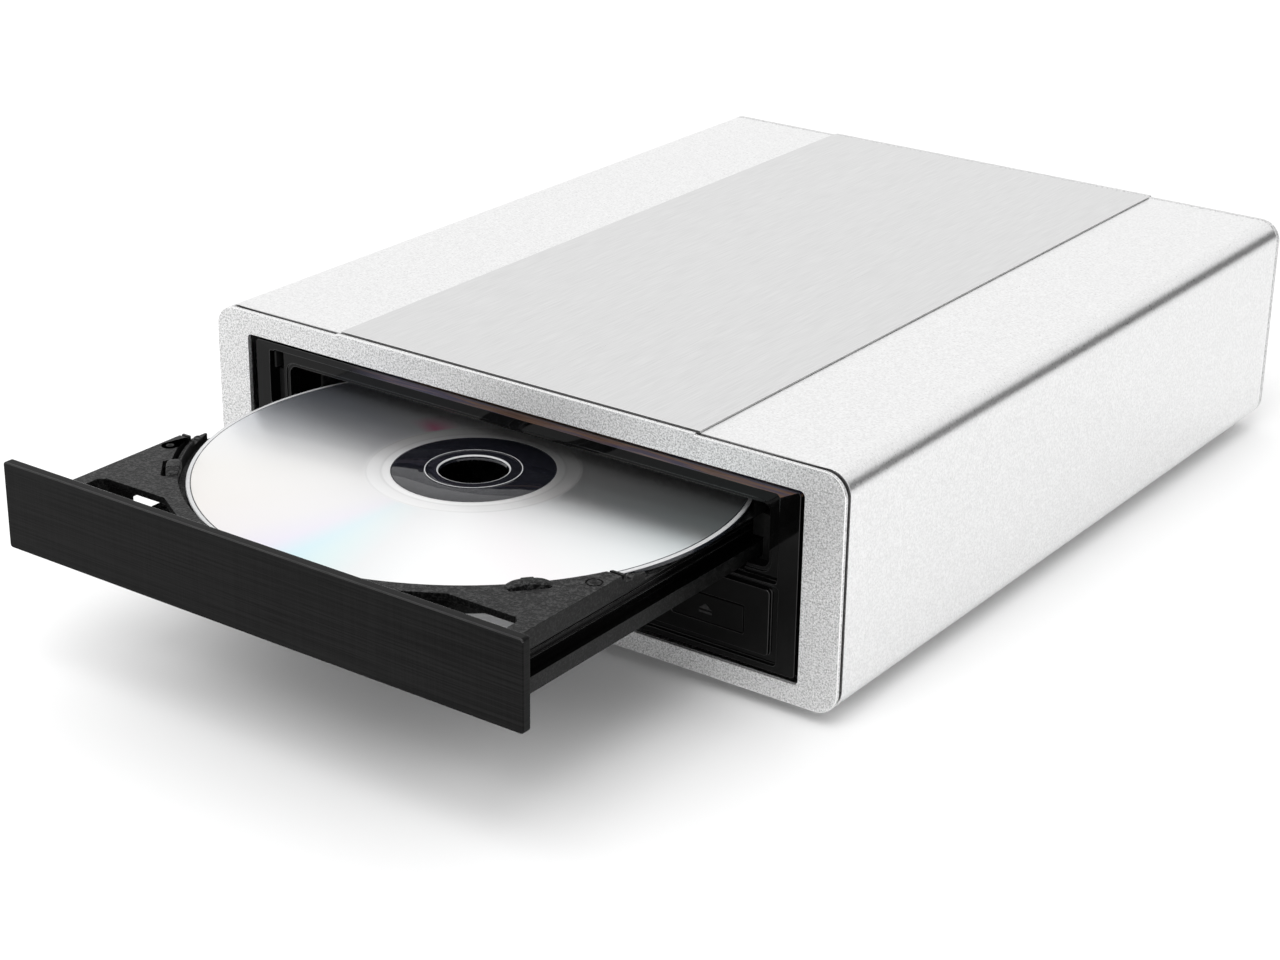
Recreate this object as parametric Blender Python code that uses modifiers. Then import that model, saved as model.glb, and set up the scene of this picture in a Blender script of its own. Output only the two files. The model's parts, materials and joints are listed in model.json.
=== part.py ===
"""External optical drive: aluminium enclosure, half-height tray drive, disc on the partly open tray.

All lengths in this file are millimetres in the drive's own design frame: X to the right, Y from the front
frame's face (y = 0) towards the rear, Z up from the enclosure's underside (z = 0).  PLACE turns them into
metres, with the origin on the floor under the middle of the whole object.
"""
import bpy
import bmesh
import math
from mathutils import Matrix, Vector

# ---------------------------------------------------------------- driving dimensions (mm)
ENC_W, ENC_H, ENC_D = 169.0, 53.0, 210.0      # enclosure, without feet
ENC_R = 5.25                                  # long-edge corner radius
WALL = 1.8                                    # sleeve wall
FOOT_H = 3.0                                  # rubber feet
INLAY_W, INLAY_UP = 96.6, 0.4                 # brushed top plate, and how far it stands proud
FRAME_T = 1.0                                 # front frame thickness
WIN_X, WIN_Z0, WIN_Z1 = 75.1, 4.6, 47.6       # front frame's window
SLEEVE_Y0, SLEEVE_Y1 = 2.1, 208.2
PANEL_Y0, PANEL_Y1 = 208.5, 210.0             # rear panel
REAR_MAX = 211.2                              # screw heads and switch flange
GAP = 0.3                                     # running and seating gap

DISC_R, DISC_HOLE_R = 60.0, 7.5
DISC_Z0, DISC_Z1 = 35.9, 37.1
DISC_Y = -11.2                                # disc centre with the tray as it stands
TRAY_X, TRAY_Y0, TRAY_Y1 = 58.8, -77.6, 78.0
TRAY_Z0, TRAY_Z1 = 25.7, 39.1
RECESS_R, RECESS_Z = 61.5, 35.6
DOOR_X, DOOR_Z0, DOOR_Z1 = 67.25, 25.4, 44.5
DOOR_Y0, DOOR_Y1 = -80.1, -77.9
TRAVEL_IN = 80.3                              # from this pose to closed
SPINDLE_Y = DISC_Y + TRAVEL_IN                # 69.1

Y_OFF = -(REAR_MAX + DOOR_Y0) / 2.0           # centres the whole object on the origin
Z_OFF = FOOT_H

MODULE = 1.0                                  # gear module
PIVOT = (0.0, 153.0, 22.0)                    # traverse tilt axis (along X)
LIFT = 6.0                                    # how far the spindle rises
TILT = LIFT / (PIVOT[1] - SPINDLE_Y)          # radians
CAM_TRAVEL = 18.0

# ---------------------------------------------------------------- scene set-up
for ob in list(bpy.data.objects):
    bpy.data.objects.remove(ob, do_unlink=True)
PARTS = bpy.data.collections.new("external_optical_drive")
CUTS = bpy.data.collections.new("cutters")
bpy.context.scene.collection.children.link(PARTS)
bpy.context.scene.collection.children.link(CUTS)

PLACE = Matrix.Translation((0.0, Y_OFF * 0.001, Z_OFF * 0.001)) @ Matrix.Diagonal((0.001, 0.001, 0.001, 1.0))


def material(name, rgb, rough, metal=0.0, alpha=1.0):
    m = bpy.data.materials.new(name)
    m.use_nodes = True
    b = m.node_tree.nodes["Principled BSDF"]
    b.inputs["Base Color"].default_value = (*rgb, 1.0)
    b.inputs["Roughness"].default_value = rough
    b.inputs["Metallic"].default_value = metal
    b.inputs["Alpha"].default_value = alpha
    return m


MAT = {
    "anodised": material("anodised_aluminium", (0.80, 0.80, 0.81), 0.42, 0.9),
    "brushed": material("brushed_aluminium", (0.72, 0.72, 0.73), 0.32, 1.0),
    "blasted": material("blasted_aluminium", (0.62, 0.62, 0.63), 0.55, 0.9),
    "gloss_black": material("gloss_black_plastic", (0.012, 0.012, 0.013), 0.12),
    "black": material("matte_black_plastic", (0.03, 0.03, 0.032), 0.6),
    "tray": material("tray_plastic", (0.055, 0.055, 0.058), 0.55),
    "door": material("door_black", (0.02, 0.02, 0.021), 0.4),
    "steel": material("zinc_steel", (0.55, 0.56, 0.56), 0.38, 1.0),
    "rubber": material("black_rubber", (0.02, 0.02, 0.02), 0.85),
    "acetal": material("black_acetal", (0.03, 0.03, 0.032), 0.4),
    "pcb": material("circuit_board", (0.02, 0.16, 0.07), 0.45),
    "disc": material("disc_mirror", (0.86, 0.87, 0.88), 0.12, 0.9),
    "clear": material("clear_plastic", (0.85, 0.9, 0.85), 0.08, 0.0, 0.5),
    "lens": material("lens_glass", (0.55, 0.6, 0.75), 0.03, 0.0, 0.4),
    "brass": material("motor_brass", (0.7, 0.52, 0.22), 0.3, 1.0),
}


# ---------------------------------------------------------------- shape helpers, each gives a bmesh in mm
def box(x0, x1, y0, y1, z0, z1):
    bm = bmesh.new()
    mid = Vector(((x0 + x1) / 2, (y0 + y1) / 2, (z0 + z1) / 2))
    bmesh.ops.create_cube(bm, size=1.0,
                          matrix=Matrix.Translation(mid) @ Matrix.Diagonal((x1 - x0, y1 - y0, z1 - z0, 1.0)))
    return bm


TURN = {"Z": Matrix.Identity(4),
        "X": Matrix(((0, 0, 1, 0), (1, 0, 0, 0), (0, 1, 0, 0), (0, 0, 0, 1))),   # local x,y,z -> world y,z,x
        "Y": Matrix(((1, 0, 0, 0), (0, 0, 1, 0), (0, -1, 0, 0), (0, 0, 0, 1)))}  # local z -> world y


def rod(a, b, r, lo, hi, axis="Z", r2=None, seg=24):
    """A cylinder or cone along an axis; a, b are the two coordinates across it, in X, Y, Z order."""
    bm = bmesh.new()
    bmesh.ops.create_cone(bm, cap_ends=True, segments=seg, radius1=r, radius2=r if r2 is None else r2,
                          depth=hi - lo, matrix=Matrix.Translation((0, 0, (lo + hi) / 2)))
    at = {"Z": (a, b, 0), "X": (0, a, b), "Y": (a, 0, b)}[axis]
    bmesh.ops.transform(bm, matrix=Matrix.Translation(at) @ TURN[axis], verts=bm.verts)
    return bm


def evaluated(ob):
    bpy.context.scene.collection.objects.link(ob)
    dg = bpy.context.evaluated_depsgraph_get()
    me = bpy.data.meshes.new_from_object(ob.evaluated_get(dg))
    bm = bmesh.new()
    bm.from_mesh(me)
    bmesh.ops.remove_doubles(bm, verts=bm.verts, dist=1e-4)
    bmesh.ops.recalc_face_normals(bm, faces=bm.faces)
    bpy.data.meshes.remove(me)
    bpy.data.objects.remove(ob, do_unlink=True)
    return bm


def plate(outlines, lo, hi, axis="Z"):
    """A flat outline (and its holes) given in the plane across the axis, filled and extruded from lo to hi."""
    cu = bpy.data.curves.new("outline", "CURVE")
    cu.dimensions = "2D"
    cu.fill_mode = "BOTH"
    cu.extrude = (hi - lo) / 2
    for pts in outlines:
        sp = cu.splines.new("POLY")
        sp.points.add(len(pts) - 1)
        for p, (u, v) in zip(sp.points, pts):
            p.co = (u, v, 0.0, 1.0)
        sp.use_cyclic_u = True
    bm = evaluated(bpy.data.objects.new("outline", cu))
    if axis == "Z":
        m = Matrix.Translation((0, 0, (lo + hi) / 2))
    elif axis == "Y":      # u, v are x, z
        m = Matrix.Translation((0, (lo + hi) / 2, 0)) @ Matrix(((1, 0, 0, 0), (0, 0, -1, 0), (0, 1, 0, 0), (0, 0, 0, 1)))
    else:                  # u, v are y, z
        m = Matrix.Translation(((lo + hi) / 2, 0, 0)) @ TURN["X"]
    bmesh.ops.transform(bm, matrix=m, verts=bm.verts)
    return bm


def turned(profile, x, y, seg=48):
    """A closed (r, z) profile turned about a vertical axis at x, y; it runs top to bottom on its outer side."""
    me = bpy.data.meshes.new("profile")
    n = len(profile)
    on_axis = profile[0][0] == 0 and profile[-1][0] == 0
    me.from_pydata([(r, 0, z) for r, z in profile],
                   [(i, i + 1) for i in range(n - 1)] + ([] if on_axis else [(n - 1, 0)]), [])
    ob = bpy.data.objects.new("profile", me)
    sc = ob.modifiers.new("turn", "SCREW")
    sc.axis = "Z"
    sc.steps = sc.render_steps = seg
    sc.use_merge_vertices = True
    sc.merge_threshold = 1e-4
    bm = evaluated(ob)
    bmesh.ops.translate(bm, vec=(x, y, 0), verts=bm.verts)
    return bm


def rect(x0, x1, y0, y1, r=0.0, n=5):
    if r <= 0:
        return [(x0, y0), (x1, y0), (x1, y1), (x0, y1)]
    pts = []
    for cx, cy, a0 in ((x1 - r, y0 + r, -90), (x1 - r, y1 - r, 0), (x0 + r, y1 - r, 90), (x0 + r, y0 + r, 180)):
        for i in range(n + 1):
            a = math.radians(a0 + 90 * i / n)
            pts.append((cx + r * math.cos(a), cy + r * math.sin(a)))
    return pts


def circle(cx, cy, r, n=24, a0=0.0, a1=360.0):
    full = abs(a1 - a0) >= 360
    return [(cx + r * math.cos(math.radians(a0 + (a1 - a0) * i / (n if full else n - 1))),
             cy + r * math.sin(math.radians(a0 + (a1 - a0) * i / (n if full else n - 1)))) for i in range(n)]


def both(*bms):
    """Several separate bodies as one mesh, for one cutter."""
    out = bmesh.new()
    for bm in bms:
        me = bpy.data.meshes.new("tmp")
        bm.to_mesh(me)
        out.from_mesh(me)
        bpy.data.meshes.remove(me)
        bm.free()
    return out


def mirrored(bm):
    """A copy of a body reflected in the plane x = 0, together with the body."""
    me = bpy.data.meshes.new("tmp")
    bm.to_mesh(me)
    other = bmesh.new()
    other.from_mesh(me)
    bpy.data.meshes.remove(me)
    bmesh.ops.transform(other, matrix=Matrix.Diagonal((-1, 1, 1, 1)), verts=other.verts)
    bmesh.ops.reverse_faces(other, faces=other.faces)
    return both(bm, other)


def gear_outline(cx, cy, n, phase, add=0.8, ded=1.1, slack=0.25):
    """Involute spur gear of MODULE; slack thins each tooth at the pitch circle. phase: a tooth's middle, degrees."""
    rp = n * MODULE / 2
    rb = rp * math.cos(math.radians(20))
    ro, rr = rp + add * MODULE, rp - ded * MODULE
    inv = lambda a: math.tan(a) - a
    half = math.pi / 2 / n - slack / 2 / rp + inv(math.radians(20))

    def psi(r):
        return half - (inv(math.acos(rb / r)) if r > rb else 0.0)
    radii = [rr, rb, (rb + ro) / 2, ro] if rr < rb - 0.05 else [rr, (rr + ro) / 2, ro]
    pts = []
    for k in range(n):
        c = math.radians(phase) + 2 * math.pi * k / n
        for r in radii:
            pts.append((cx + r * math.cos(c - psi(r)), cy + r * math.sin(c - psi(r))))
        for r in reversed(radii):
            pts.append((cx + r * math.cos(c + psi(r)), cy + r * math.sin(c + psi(r))))
    return pts


def rack_outline(pitch_x, back_x, y0, y1, tooth_y, add=0.8, ded=1.1, slack=0.25):
    """A straight rack along Y with its teeth towards +X."""
    p = math.pi * MODULE
    t = math.tan(math.radians(20))
    hp = p / 4 - slack / 2
    tip, root = hp - add * t, hp + ded * t
    xt, xr = pitch_x + add, pitch_x - ded
    pts = [(back_x, y1), (back_x, y0), (xr, y0)]
    k = math.ceil((y0 + root + 0.2 - tooth_y) / p)
    while tooth_y + k * p + root < y1 - 0.2:
        c = tooth_y + k * p
        pts += [(xr, c - root), (xt, c - tip), (xt, c + tip), (xr, c + root)]
        k += 1
    pts.append((xr, y1))
    return pts


# ---------------------------------------------------------------- objects
def empty(name, at, rot_x=0.0):
    e = bpy.data.objects.new(name, None)
    e.empty_display_size = 0.01
    e.location = PLACE @ Vector(at)
    e.rotation_euler = (rot_x, 0.0, 0.0)
    PARTS.objects.link(e)
    return e


def _object(name, bm, coll, origin, group):
    bmesh.ops.recalc_face_normals(bm, faces=bm.faces)
    me = bpy.data.meshes.new(name)
    bm.to_mesh(me)
    bm.free()
    base = group.location.copy() if group else Vector((0, 0, 0))
    o = (PLACE @ Vector(origin)) if origin else base
    me.transform(Matrix.Translation(-o) @ PLACE)
    ob = bpy.data.objects.new(name, me)
    coll.objects.link(ob)
    ob.parent = group
    ob.location = o - base
    return ob


def part(name, bm, mat, add=(), cut=(), origin=None, group=None):
    """One sub-part: a base body, bodies joined to it, then bodies cut from it."""
    ob = _object(name, bm, PARTS, origin, group)
    ob.data.materials.append(MAT[mat])
    for op, bms in (("UNION", add), ("DIFFERENCE", cut)):
        for i, b in enumerate(bms):
            tool = _object(f"{name}_{'add' if op == 'UNION' else 'cut'}_{i}", b, CUTS, None, group)
            tool.hide_render = True
            tool.display_type = "WIRE"
            md = ob.modifiers.new(tool.name, "BOOLEAN")
            md.operation = op
            md.solver = "EXACT"
            md.object = tool
    ob.data.shade_smooth()
    ob.data.set_sharp_from_angle(angle=math.radians(30))
    return ob


HW = ENC_W / 2
CHAN = [(-79.2, 5.3), (79.2, 5.3), (79.2, 47.7), (-79.2, 47.7)]       # screw channels in the sleeve's corners


def shell_outline(inset, lip, lip_w):
    """Outer outline of the enclosure in x, z, with the raised or sunken band along the top's middle."""
    x, z0, z1, r = HW - inset, inset, ENC_H - inset, ENC_R - inset
    pts = rect(-x, x, z0, z1, r, 6)
    # the top edge runs from the right corner's end to the left corner's start
    right_end = 14 - 1
    return pts[:right_end + 1] + [(lip_w, z1), (lip_w, z1 + lip), (-lip_w, z1 + lip), (-lip_w, z1)] + pts[right_end + 1:]


# ---- enclosure -------------------------------------------------------------------------------------------
ix, iz0, iz1, bl = HW - WALL, WALL, ENC_H - WALL, 7.0
inner = [(-ix + bl, iz0), (ix - bl, iz0), (ix - bl, iz0 + bl), (ix, iz0 + bl), (ix, iz1 - bl), (ix - bl, iz1 - bl),
         (ix - bl, iz1), (-ix + bl, iz1), (-ix + bl, iz1 - bl), (-ix, iz1 - bl), (-ix, iz0 + bl), (-ix + bl, iz0 + bl)]
BASE_SCREWS = [(-60.0, 40.0), (60.0, 40.0), (60.0, 140.0), (-60.0, 140.0)]
part("outer_sleeve",
     plate([shell_outline(0.0, -0.9, INLAY_W / 2 + GAP), inner] + [circle(x, z, 1.3, 12) for x, z in CHAN],
           SLEEVE_Y0, SLEEVE_Y1, "Y"), "anodised",
     cut=[both(*[rod(x, y, 1.5, -1.0, 3.0, seg=16) for x, y in BASE_SCREWS])])
part("top_inlay", box(-INLAY_W / 2, INLAY_W / 2, SLEEVE_Y0, SLEEVE_Y1, ENC_H - 0.6, ENC_H + INLAY_UP), "brushed")
part("front_frame",
     plate([shell_outline(0.0, INLAY_UP, INLAY_W / 2), rect(-WIN_X, WIN_X, WIN_Z0, WIN_Z1, 1.2, 4)], 0.0, FRAME_T, "Y"),
     "blasted", add=[both(*[rod(x, z, 1.0, 0.5, 9.0, "Y", seg=12) for x, z in CHAN])])
part("front_liner",
     plate([rect(-HW + 0.7, HW - 0.7, 0.7, ENC_H - 0.7, ENC_R - 0.7, 6), rect(-75.5, 75.5, 4.2, 48.0, 1.4, 4)]
           + [circle(x, z, 1.3, 12) for x, z in CHAN], 1.3, 1.8, "Y"), "black")

# rear panel, with its bent shelf for the bridge board
USB = (36.0, 48.0, 9.7, 20.5)
PWR = (56.0, 68.0, 9.7, 20.7)
SW_X, SW_Z = -55.0, 27.0
vents = [rect(-30 + 8 * i, -26 + 8 * i, 20.0, 40.0, 1.9, 4) for i in range(7)]
part("rear_panel", plate([shell_outline(0.0, INLAY_UP, INLAY_W / 2)], PANEL_Y0, PANEL_Y1, "Y"), "blasted",
     add=[box(22.0, 74.0, 180.0, PANEL_Y0 + 0.7, 6.3, 7.5)],
     cut=[both(box(USB[0] - 0.4, USB[1] + 0.4, 207.0, 212.0, USB[2] - 0.4, USB[3] + 0.4),
               box(PWR[0] - 0.4, PWR[1] + 0.4, 207.0, 212.0, PWR[2] - 0.4, PWR[3] + 0.4),
               box(SW_X - 6.8, SW_X + 6.8, 207.0, 212.0, SW_Z - 9.8, SW_Z + 9.8)),
          both(*[rod(x, z, 1.3, 207.0, 212.0, "Y", seg=12) for x, z in CHAN]),
          both(*[plate([v], 207.0, 212.0, "Y") for v in vents])])
for i, (x, z) in enumerate(CHAN):
    part(f"rear_screw_{i + 1}", rod(x, z, 2.6, PANEL_Y1 + GAP, REAR_MAX, "Y", seg=20), "steel",
         add=[rod(x, z, 1.0, 198.0, PANEL_Y1 + 0.6, "Y", seg=12)])
for i, (x, y) in enumerate([(-62.0, 20.0), (62.0, 20.0), (62.0, 190.0), (-62.0, 190.0)]):
    part(f"rubber_foot_{i + 1}", rod(x, y, 5.0, -FOOT_H, -GAP, r2=5.6, seg=28), "rubber")
for i, (x, y) in enumerate(BASE_SCREWS):
    part(f"base_screw_{i + 1}", rod(x, y, 2.6, -1.2, -GAP, seg=20), "steel",
         add=[rod(x, y, 1.0, -0.8, 4.4, seg=12)])

# ---- cradle that carries the drive -----------------------------------------------------------------------
SIDE_SCREWS = [(40.0, 15.0), (120.0, 15.0)]
part("cradle_bracket", box(-74.6, 74.6, 12.0, 155.0, 2.1, 28.0), "steel",
     cut=[box(-73.4, 73.4, 11.0, 156.0, 3.3, 29.0),
          both(*[rod(x, y, 1.5, 1.0, 4.5, seg=16) for x, y in BASE_SCREWS]),
          both(*[rod(y, z, 1.5, -80.0, 80.0, "X", seg=16) for y, z in SIDE_SCREWS])])
n = 0
for sx in (-1, 1):
    for y, z in SIDE_SCREWS:
        n += 1
        lo, hi = sorted((sx * 74.9, sx * 76.2))
        slo, shi = sorted((sx * 70.5, sx * 75.4))
        part(f"drive_screw_{n}", rod(y, z, 2.8, lo, hi, "X", seg=20), "steel",
             add=[rod(y, z, 1.2, slo, shi, "X", seg=12)])

# ---- drive case ------------------------------------------------------------------------------------------
part("drive_case", box(-73.0, 73.0, 6.6, 171.0, 5.4, 45.65), "steel",
     cut=[box(-72.2, 72.2, 5.0, 170.2, 6.2, 47.0), box(28.0, 64.0, 169.0, 172.0, 8.4, 17.0),
          both(*[rod(y, z, 1.5, -80.0, 80.0, "X", seg=16) for y, z in SIDE_SCREWS])])
part("drive_cover", box(-73.0, 73.0, 6.6, 171.0, 45.95, 46.75), "steel",
     add=[both(box(-71.9, -71.1, 12.0, 168.0, 42.0, 46.3), box(71.1, 71.9, 12.0, 168.0, 42.0, 46.3))])
part("drive_board", box(-56.0, 56.0, 56.0, 164.0, 6.5, 8.1), "pcb")

# bezel: seat for the door, opening for tray and disc, lower panel in its groove, button and light holes
BZ_Y0, BZ_Y1 = 1.0, 6.3
groove = plate([rect(-69.0, 69.0, 6.7, 24.5, 0.8, 3), rect(-67.0, 67.0, 8.4, 23.3, 0.8, 3)], 0.5, 1.9, "Y")
part("drive_bezel", plate([rect(-73.6, 73.6, 5.2, 46.6, 0.8, 4)], BZ_Y0, BZ_Y1, "Y"), "gloss_black",
     cut=[plate([rect(-68.6, 68.6, 25.0, 44.9, 0.9, 3)], 0.0, 2.7, "Y"),
          plate([rect(-65.2, 65.2, 27.1, 41.2, 1.6, 4)], 0.4, 7.0, "Y"),
          box(-59.6, 59.6, 0.4, 7.0, 25.4, 30.0),
          groove,
          both(box(-69.5, -66.9, 0.6, 5.2, 31.9, 44.6)),
          both(box(43.0, 61.0, 0.5, 7.0, 11.8, 18.2), box(29.7, 34.3, 0.5, 7.0, 13.9, 16.1),
               rod(12.0, 15.0, 0.7, 0.5, 7.0, "Y", seg=12))])
part("activity_light_pipe", box(30.0, 34.0, 1.2, 9.0, 14.2, 15.8), "clear")
part("eject_button", box(43.35, 60.65, 0.9, 7.2, 12.15, 17.85), "gloss_black",
     add=[box(42.0, 62.0, 6.6, 7.6, 11.0, 19.0)])

# ---- loader base: walls, ledges and tongues that guide the tray, gear posts, traverse brackets ---------------
GEAR = (-30.0, 22.0)
PULL = (-12.0, 22.0)
MOTOR = (26.0, 20.0)
wall_r = box(59.3, 62.3, 10.0, 160.0, 8.4, 42.9)
part("loader_base", box(-62.3, 62.3, 10.0, 42.6, 8.4, 10.4), "black",
     add=[mirrored(wall_r),
          mirrored(box(54.5, 60.0, 10.0, 160.0, 21.5, 25.4)),
          mirrored(both(box(56.1, 60.0, 11.0, 26.0, 29.5, 34.9), box(56.1, 60.0, 100.0, 140.0, 29.5, 34.9))),
          mirrored(box(39.5, 60.0, 149.5, 156.5, 8.8, 13.0)),
          mirrored(box(39.5, 43.5, 149.8, 156.2, 9.2, 25.5)),
          both(rod(GEAR[0], GEAR[1], 1.5, 9.4, 32.5, seg=16), rod(PULL[0], PULL[1], 1.5, 9.4, 28.2, seg=16)),
          both(box(-30.0, 40.0, 36.6, 37.5, 9.4, 13.0), box(-30.0, 40.0, 41.4, 42.2, 9.4, 13.0))],
     cut=[rod(PIVOT[1], PIVOT[2], 1.9, -50.0, 50.0, "X", seg=24),
          mirrored(box(58.0, 60.8, 9.0, 161.0, 35.3, 44.0))])      # room beside the tray for the disc's edge
part("loading_motor", rod(MOTOR[0], MOTOR[1], 10.0, 10.7, 18.9, seg=32), "steel",
     add=[rod(MOTOR[0], MOTOR[1], 3.0, 18.4, 19.7, seg=20)])

# ---- loading gear train: motor pulley, belt, pulley gear, loading gear, rack under the tray ------------------
part("motor_pulley", turned([(4.6, 23.5), (4.6, 22.8), (3.5, 22.5), (3.5, 21.0), (4.6, 20.7), (4.6, 20.0),
                             (0.8, 20.0), (0.8, 23.5)], *MOTOR, seg=24), "brass", origin=(*MOTOR, 21.0))
part("pulley_gear", turned([(12.4, 23.5), (12.4, 22.8), (11.0, 22.5), (11.0, 21.0), (12.4, 20.7), (12.4, 20.0),
                            (1.8, 20.0), (1.8, 23.5)], *PULL, seg=36), "acetal",
     add=[plate([gear_outline(*PULL, 12, 15.0), circle(*PULL, 1.8, 36)], 23.2, 27.2)], origin=(*PULL, 22.0))
part("loading_gear", plate([gear_outline(*GEAR, 24, 0.0), circle(*GEAR, 1.8, 16)], 24.0, 27.0), "acetal",
     add=[plate([gear_outline(*GEAR, 20, 9.0), circle(*GEAR, 1.8, 16)], 26.5, 31.5)], origin=(*GEAR, 25.0))


def belt_outline(extra):
    """Loop round two pulleys: two arcs joined by straight tangents."""
    r1, r2 = 11.3 + extra, 3.8 + extra
    dx, dy = MOTOR[0] - PULL[0], MOTOR[1] - PULL[1]
    d = math.hypot(dx, dy)
    base = math.degrees(math.atan2(dy, dx))
    a = math.degrees(math.acos((r1 - r2) / d))
    return circle(*PULL, r1, 24, base + a, base + 360 - a) + circle(*MOTOR, r2, 12, base - a, base + a)


part("drive_belt", plate([belt_outline(0.9), belt_outline(0.0)], 21.25, 22.25), "rubber")

# ---- tray, door and disc ---------------------------------------------------------------------------------
slot = [(-55.0, -73.6), (-55.0, -66.2), (-53.6, -64.9), (-37.2, -64.8), (-27.0, -70.6), (-27.0, -73.6)]
CLIP = (47.5, -53.05)
clip_dir = math.degrees(math.atan2(CLIP[1] - DISC_Y, CLIP[0]))


def clip_point(t, u):
    """A point t mm along the recess's edge and u mm outwards from the retention clip's middle."""
    a = math.radians(clip_dir)
    return (CLIP[0] + u * math.cos(a) - t * math.sin(a), CLIP[1] + u * math.sin(a) + t * math.cos(a))


tray_rack = plate([rack_outline(-40.0, -44.0, -62.0, TRAY_Y1, GEAR[1])], 27.3, 34.5)
TRAY_CUT = [
    both(box(55.8, 60.0, TRAY_Y0 - 1, TRAY_Y1 + 1, 29.2, 35.2), box(-60.0, -55.8, TRAY_Y0 - 1, TRAY_Y1 + 1, 29.2, 35.2)),
    box(-53.6, 53.6, -75.4, TRAY_Y1 + 1, 24.0, 33.8),
    rod(0.0, DISC_Y, RECESS_R, RECESS_Z, 41.0, seg=96),
    mirrored(box(50.0, 60.0, -31.0, -20.0, RECESS_Z, 41.0)),
    mirrored(box(50.0, 60.0, -37.4, -30.5, 37.2, 41.0)),
    box(-60.0, -53.0, -57.8, -43.5, 25.0, 32.6),            # window in the left wall, under the corner slot
    mirrored(plate([slot], 32.0, 41.0)),
    plate([circle(0.0, DISC_Y, 22.0, 20, 180.0, 360.0) + [(22.0, TRAY_Y1 + 1), (-22.0, TRAY_Y1 + 1)]], 32.0, 41.0),
    mirrored(plate([[clip_point(-4.2, -3.0), clip_point(-4.2, 0.8), clip_point(-2.6, 2.4), clip_point(2.6, 2.4),
                     clip_point(4.2, 0.8), clip_point(4.2, -3.0)]], 36.4, 41.0)),
    both(box(-35.0, -23.0, -79.0, -74.0, 27.4, 31.6), box(23.0, 35.0, -79.0, -74.0, 27.4, 31.6)),
]
wing_pocket = plate([rect(-53.6, 53.6, -75.4, -30.0)], 33.0, 37.6)
tray = part("tray", box(-TRAY_X, TRAY_X, TRAY_Y0, TRAY_Y1, TRAY_Z0, TRAY_Z1), "tray", cut=TRAY_CUT)
# the hollow under the front wings leaves a wall round the recess
ring = _object("tray_wing_keep", rod(0.0, DISC_Y, RECESS_R + 1.6, 32.0, 42.0, seg=96), CUTS, None, None)
hollow = _object("tray_wing_hollow", wing_pocket, CUTS, None, None)
for t in (ring, hollow):
    t.hide_render = True
    t.display_type = "WIRE"
md = hollow.modifiers.new("keep", "BOOLEAN")
md.operation, md.solver, md.object = "DIFFERENCE", "EXACT", ring
md = tray.modifiers.new("wing_hollow", "BOOLEAN")
md.operation, md.solver, md.object = "DIFFERENCE", "EXACT", hollow
for i, b in enumerate([tray_rack,
                       mirrored(plate([[clip_point(-4.9, -2.2), clip_point(-4.9, 0.9), clip_point(4.9, 0.9),
                                        clip_point(4.9, -2.2)]], 38.3, 39.9))]):
    t = _object(f"tray_more_{i}", b, CUTS, None, None)
    t.hide_render = True
    t.display_type = "WIRE"
    md = tray.modifiers.new(t.name, "BOOLEAN")
    md.operation, md.solver, md.object = "UNION", "EXACT", t

part("tray_door", plate([rect(-DOOR_X, DOOR_X, DOOR_Z0, DOOR_Z1, 0.7, 3)], DOOR_Y0, DOOR_Y1, "Y"), "door",
     add=[both(box(-34.0, -24.0, DOOR_Y1 - 0.6, -70.0, 28.0, 31.0), box(24.0, 34.0, DOOR_Y1 - 0.6, -70.0, 28.0, 31.0))])
part("disc", turned([(DISC_R, DISC_Z1), (DISC_R, DISC_Z0), (DISC_HOLE_R, DISC_Z0), (DISC_HOLE_R, DISC_Z1)],
                    0.0, DISC_Y, seg=96), "disc", origin=(0.0, DISC_Y, DISC_Z0))

# ---- clamp -----------------------------------------------------------------------------------------------
part("clamp_bridge", plate([rect(-62.3, 62.3, 58.1, 80.1, 2.0, 3), circle(0.0, SPINDLE_Y, 11.2, 36)], 43.2, 44.2), "steel")
part("clamper", turned([(0.0, 45.5), (15.0, 45.5), (15.0, 44.6), (10.6, 44.6), (10.6, 40.6), (14.0, 40.4), (14.0, 38.0),
                        (7.9, 38.0), (7.9, 39.2), (0.0, 39.2)], 0.0, SPINDLE_Y, seg=36), "acetal",
     origin=(0.0, SPINDLE_Y, 40.0))

# ---- traverse: modelled level, as when it is raised, then lowered by turning its pivot ------------------------
piv = empty("traverse_pivot", PIVOT, TILT)
PIN_Z = 26.0
frame_out = [(-38.0, 44.0), (38.0, 44.0), (38.0, 156.8), (-38.0, 156.8)]
part("traverse_frame", plate([frame_out, rect(-34.3, 34.3, 81.8, 149.0, 1.0, 2)], 24.0, 30.0), "black",
     add=[mirrored(box(34.5, 38.0, 149.5, 156.5, 19.5, 24.6)),
          mirrored(rod(PIVOT[1], PIVOT[2], 1.5, 36.0, 45.0, "X", seg=16)),
          both(rod(-4.0, PIN_Z, 1.2, 37.3, 45.0, "Y", seg=16), rod(16.0, PIN_Z, 1.2, 37.3, 45.0, "Y", seg=16))],
     cut=[plate([circle(0.0, SPINDLE_Y, 12.5, 36)], 23.0, 31.0), box(-20.0 + 1.0, 19.0, 76.0, 85.0, 23.0, 31.0),
          both(rod(-20.5, 27.0, 1.8, 75.6, 151.4, "Y", seg=16), rod(20.5, 27.0, 1.8, 75.6, 151.4, "Y", seg=16))],
     origin=PIVOT, group=piv)
for side, x in (("left", -20.5), ("right", 20.5)):
    part(f"guide_rod_{side}", rod(x, 27.0, 1.5, 76.0, 151.0, "Y", seg=16), "steel", group=piv)
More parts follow.
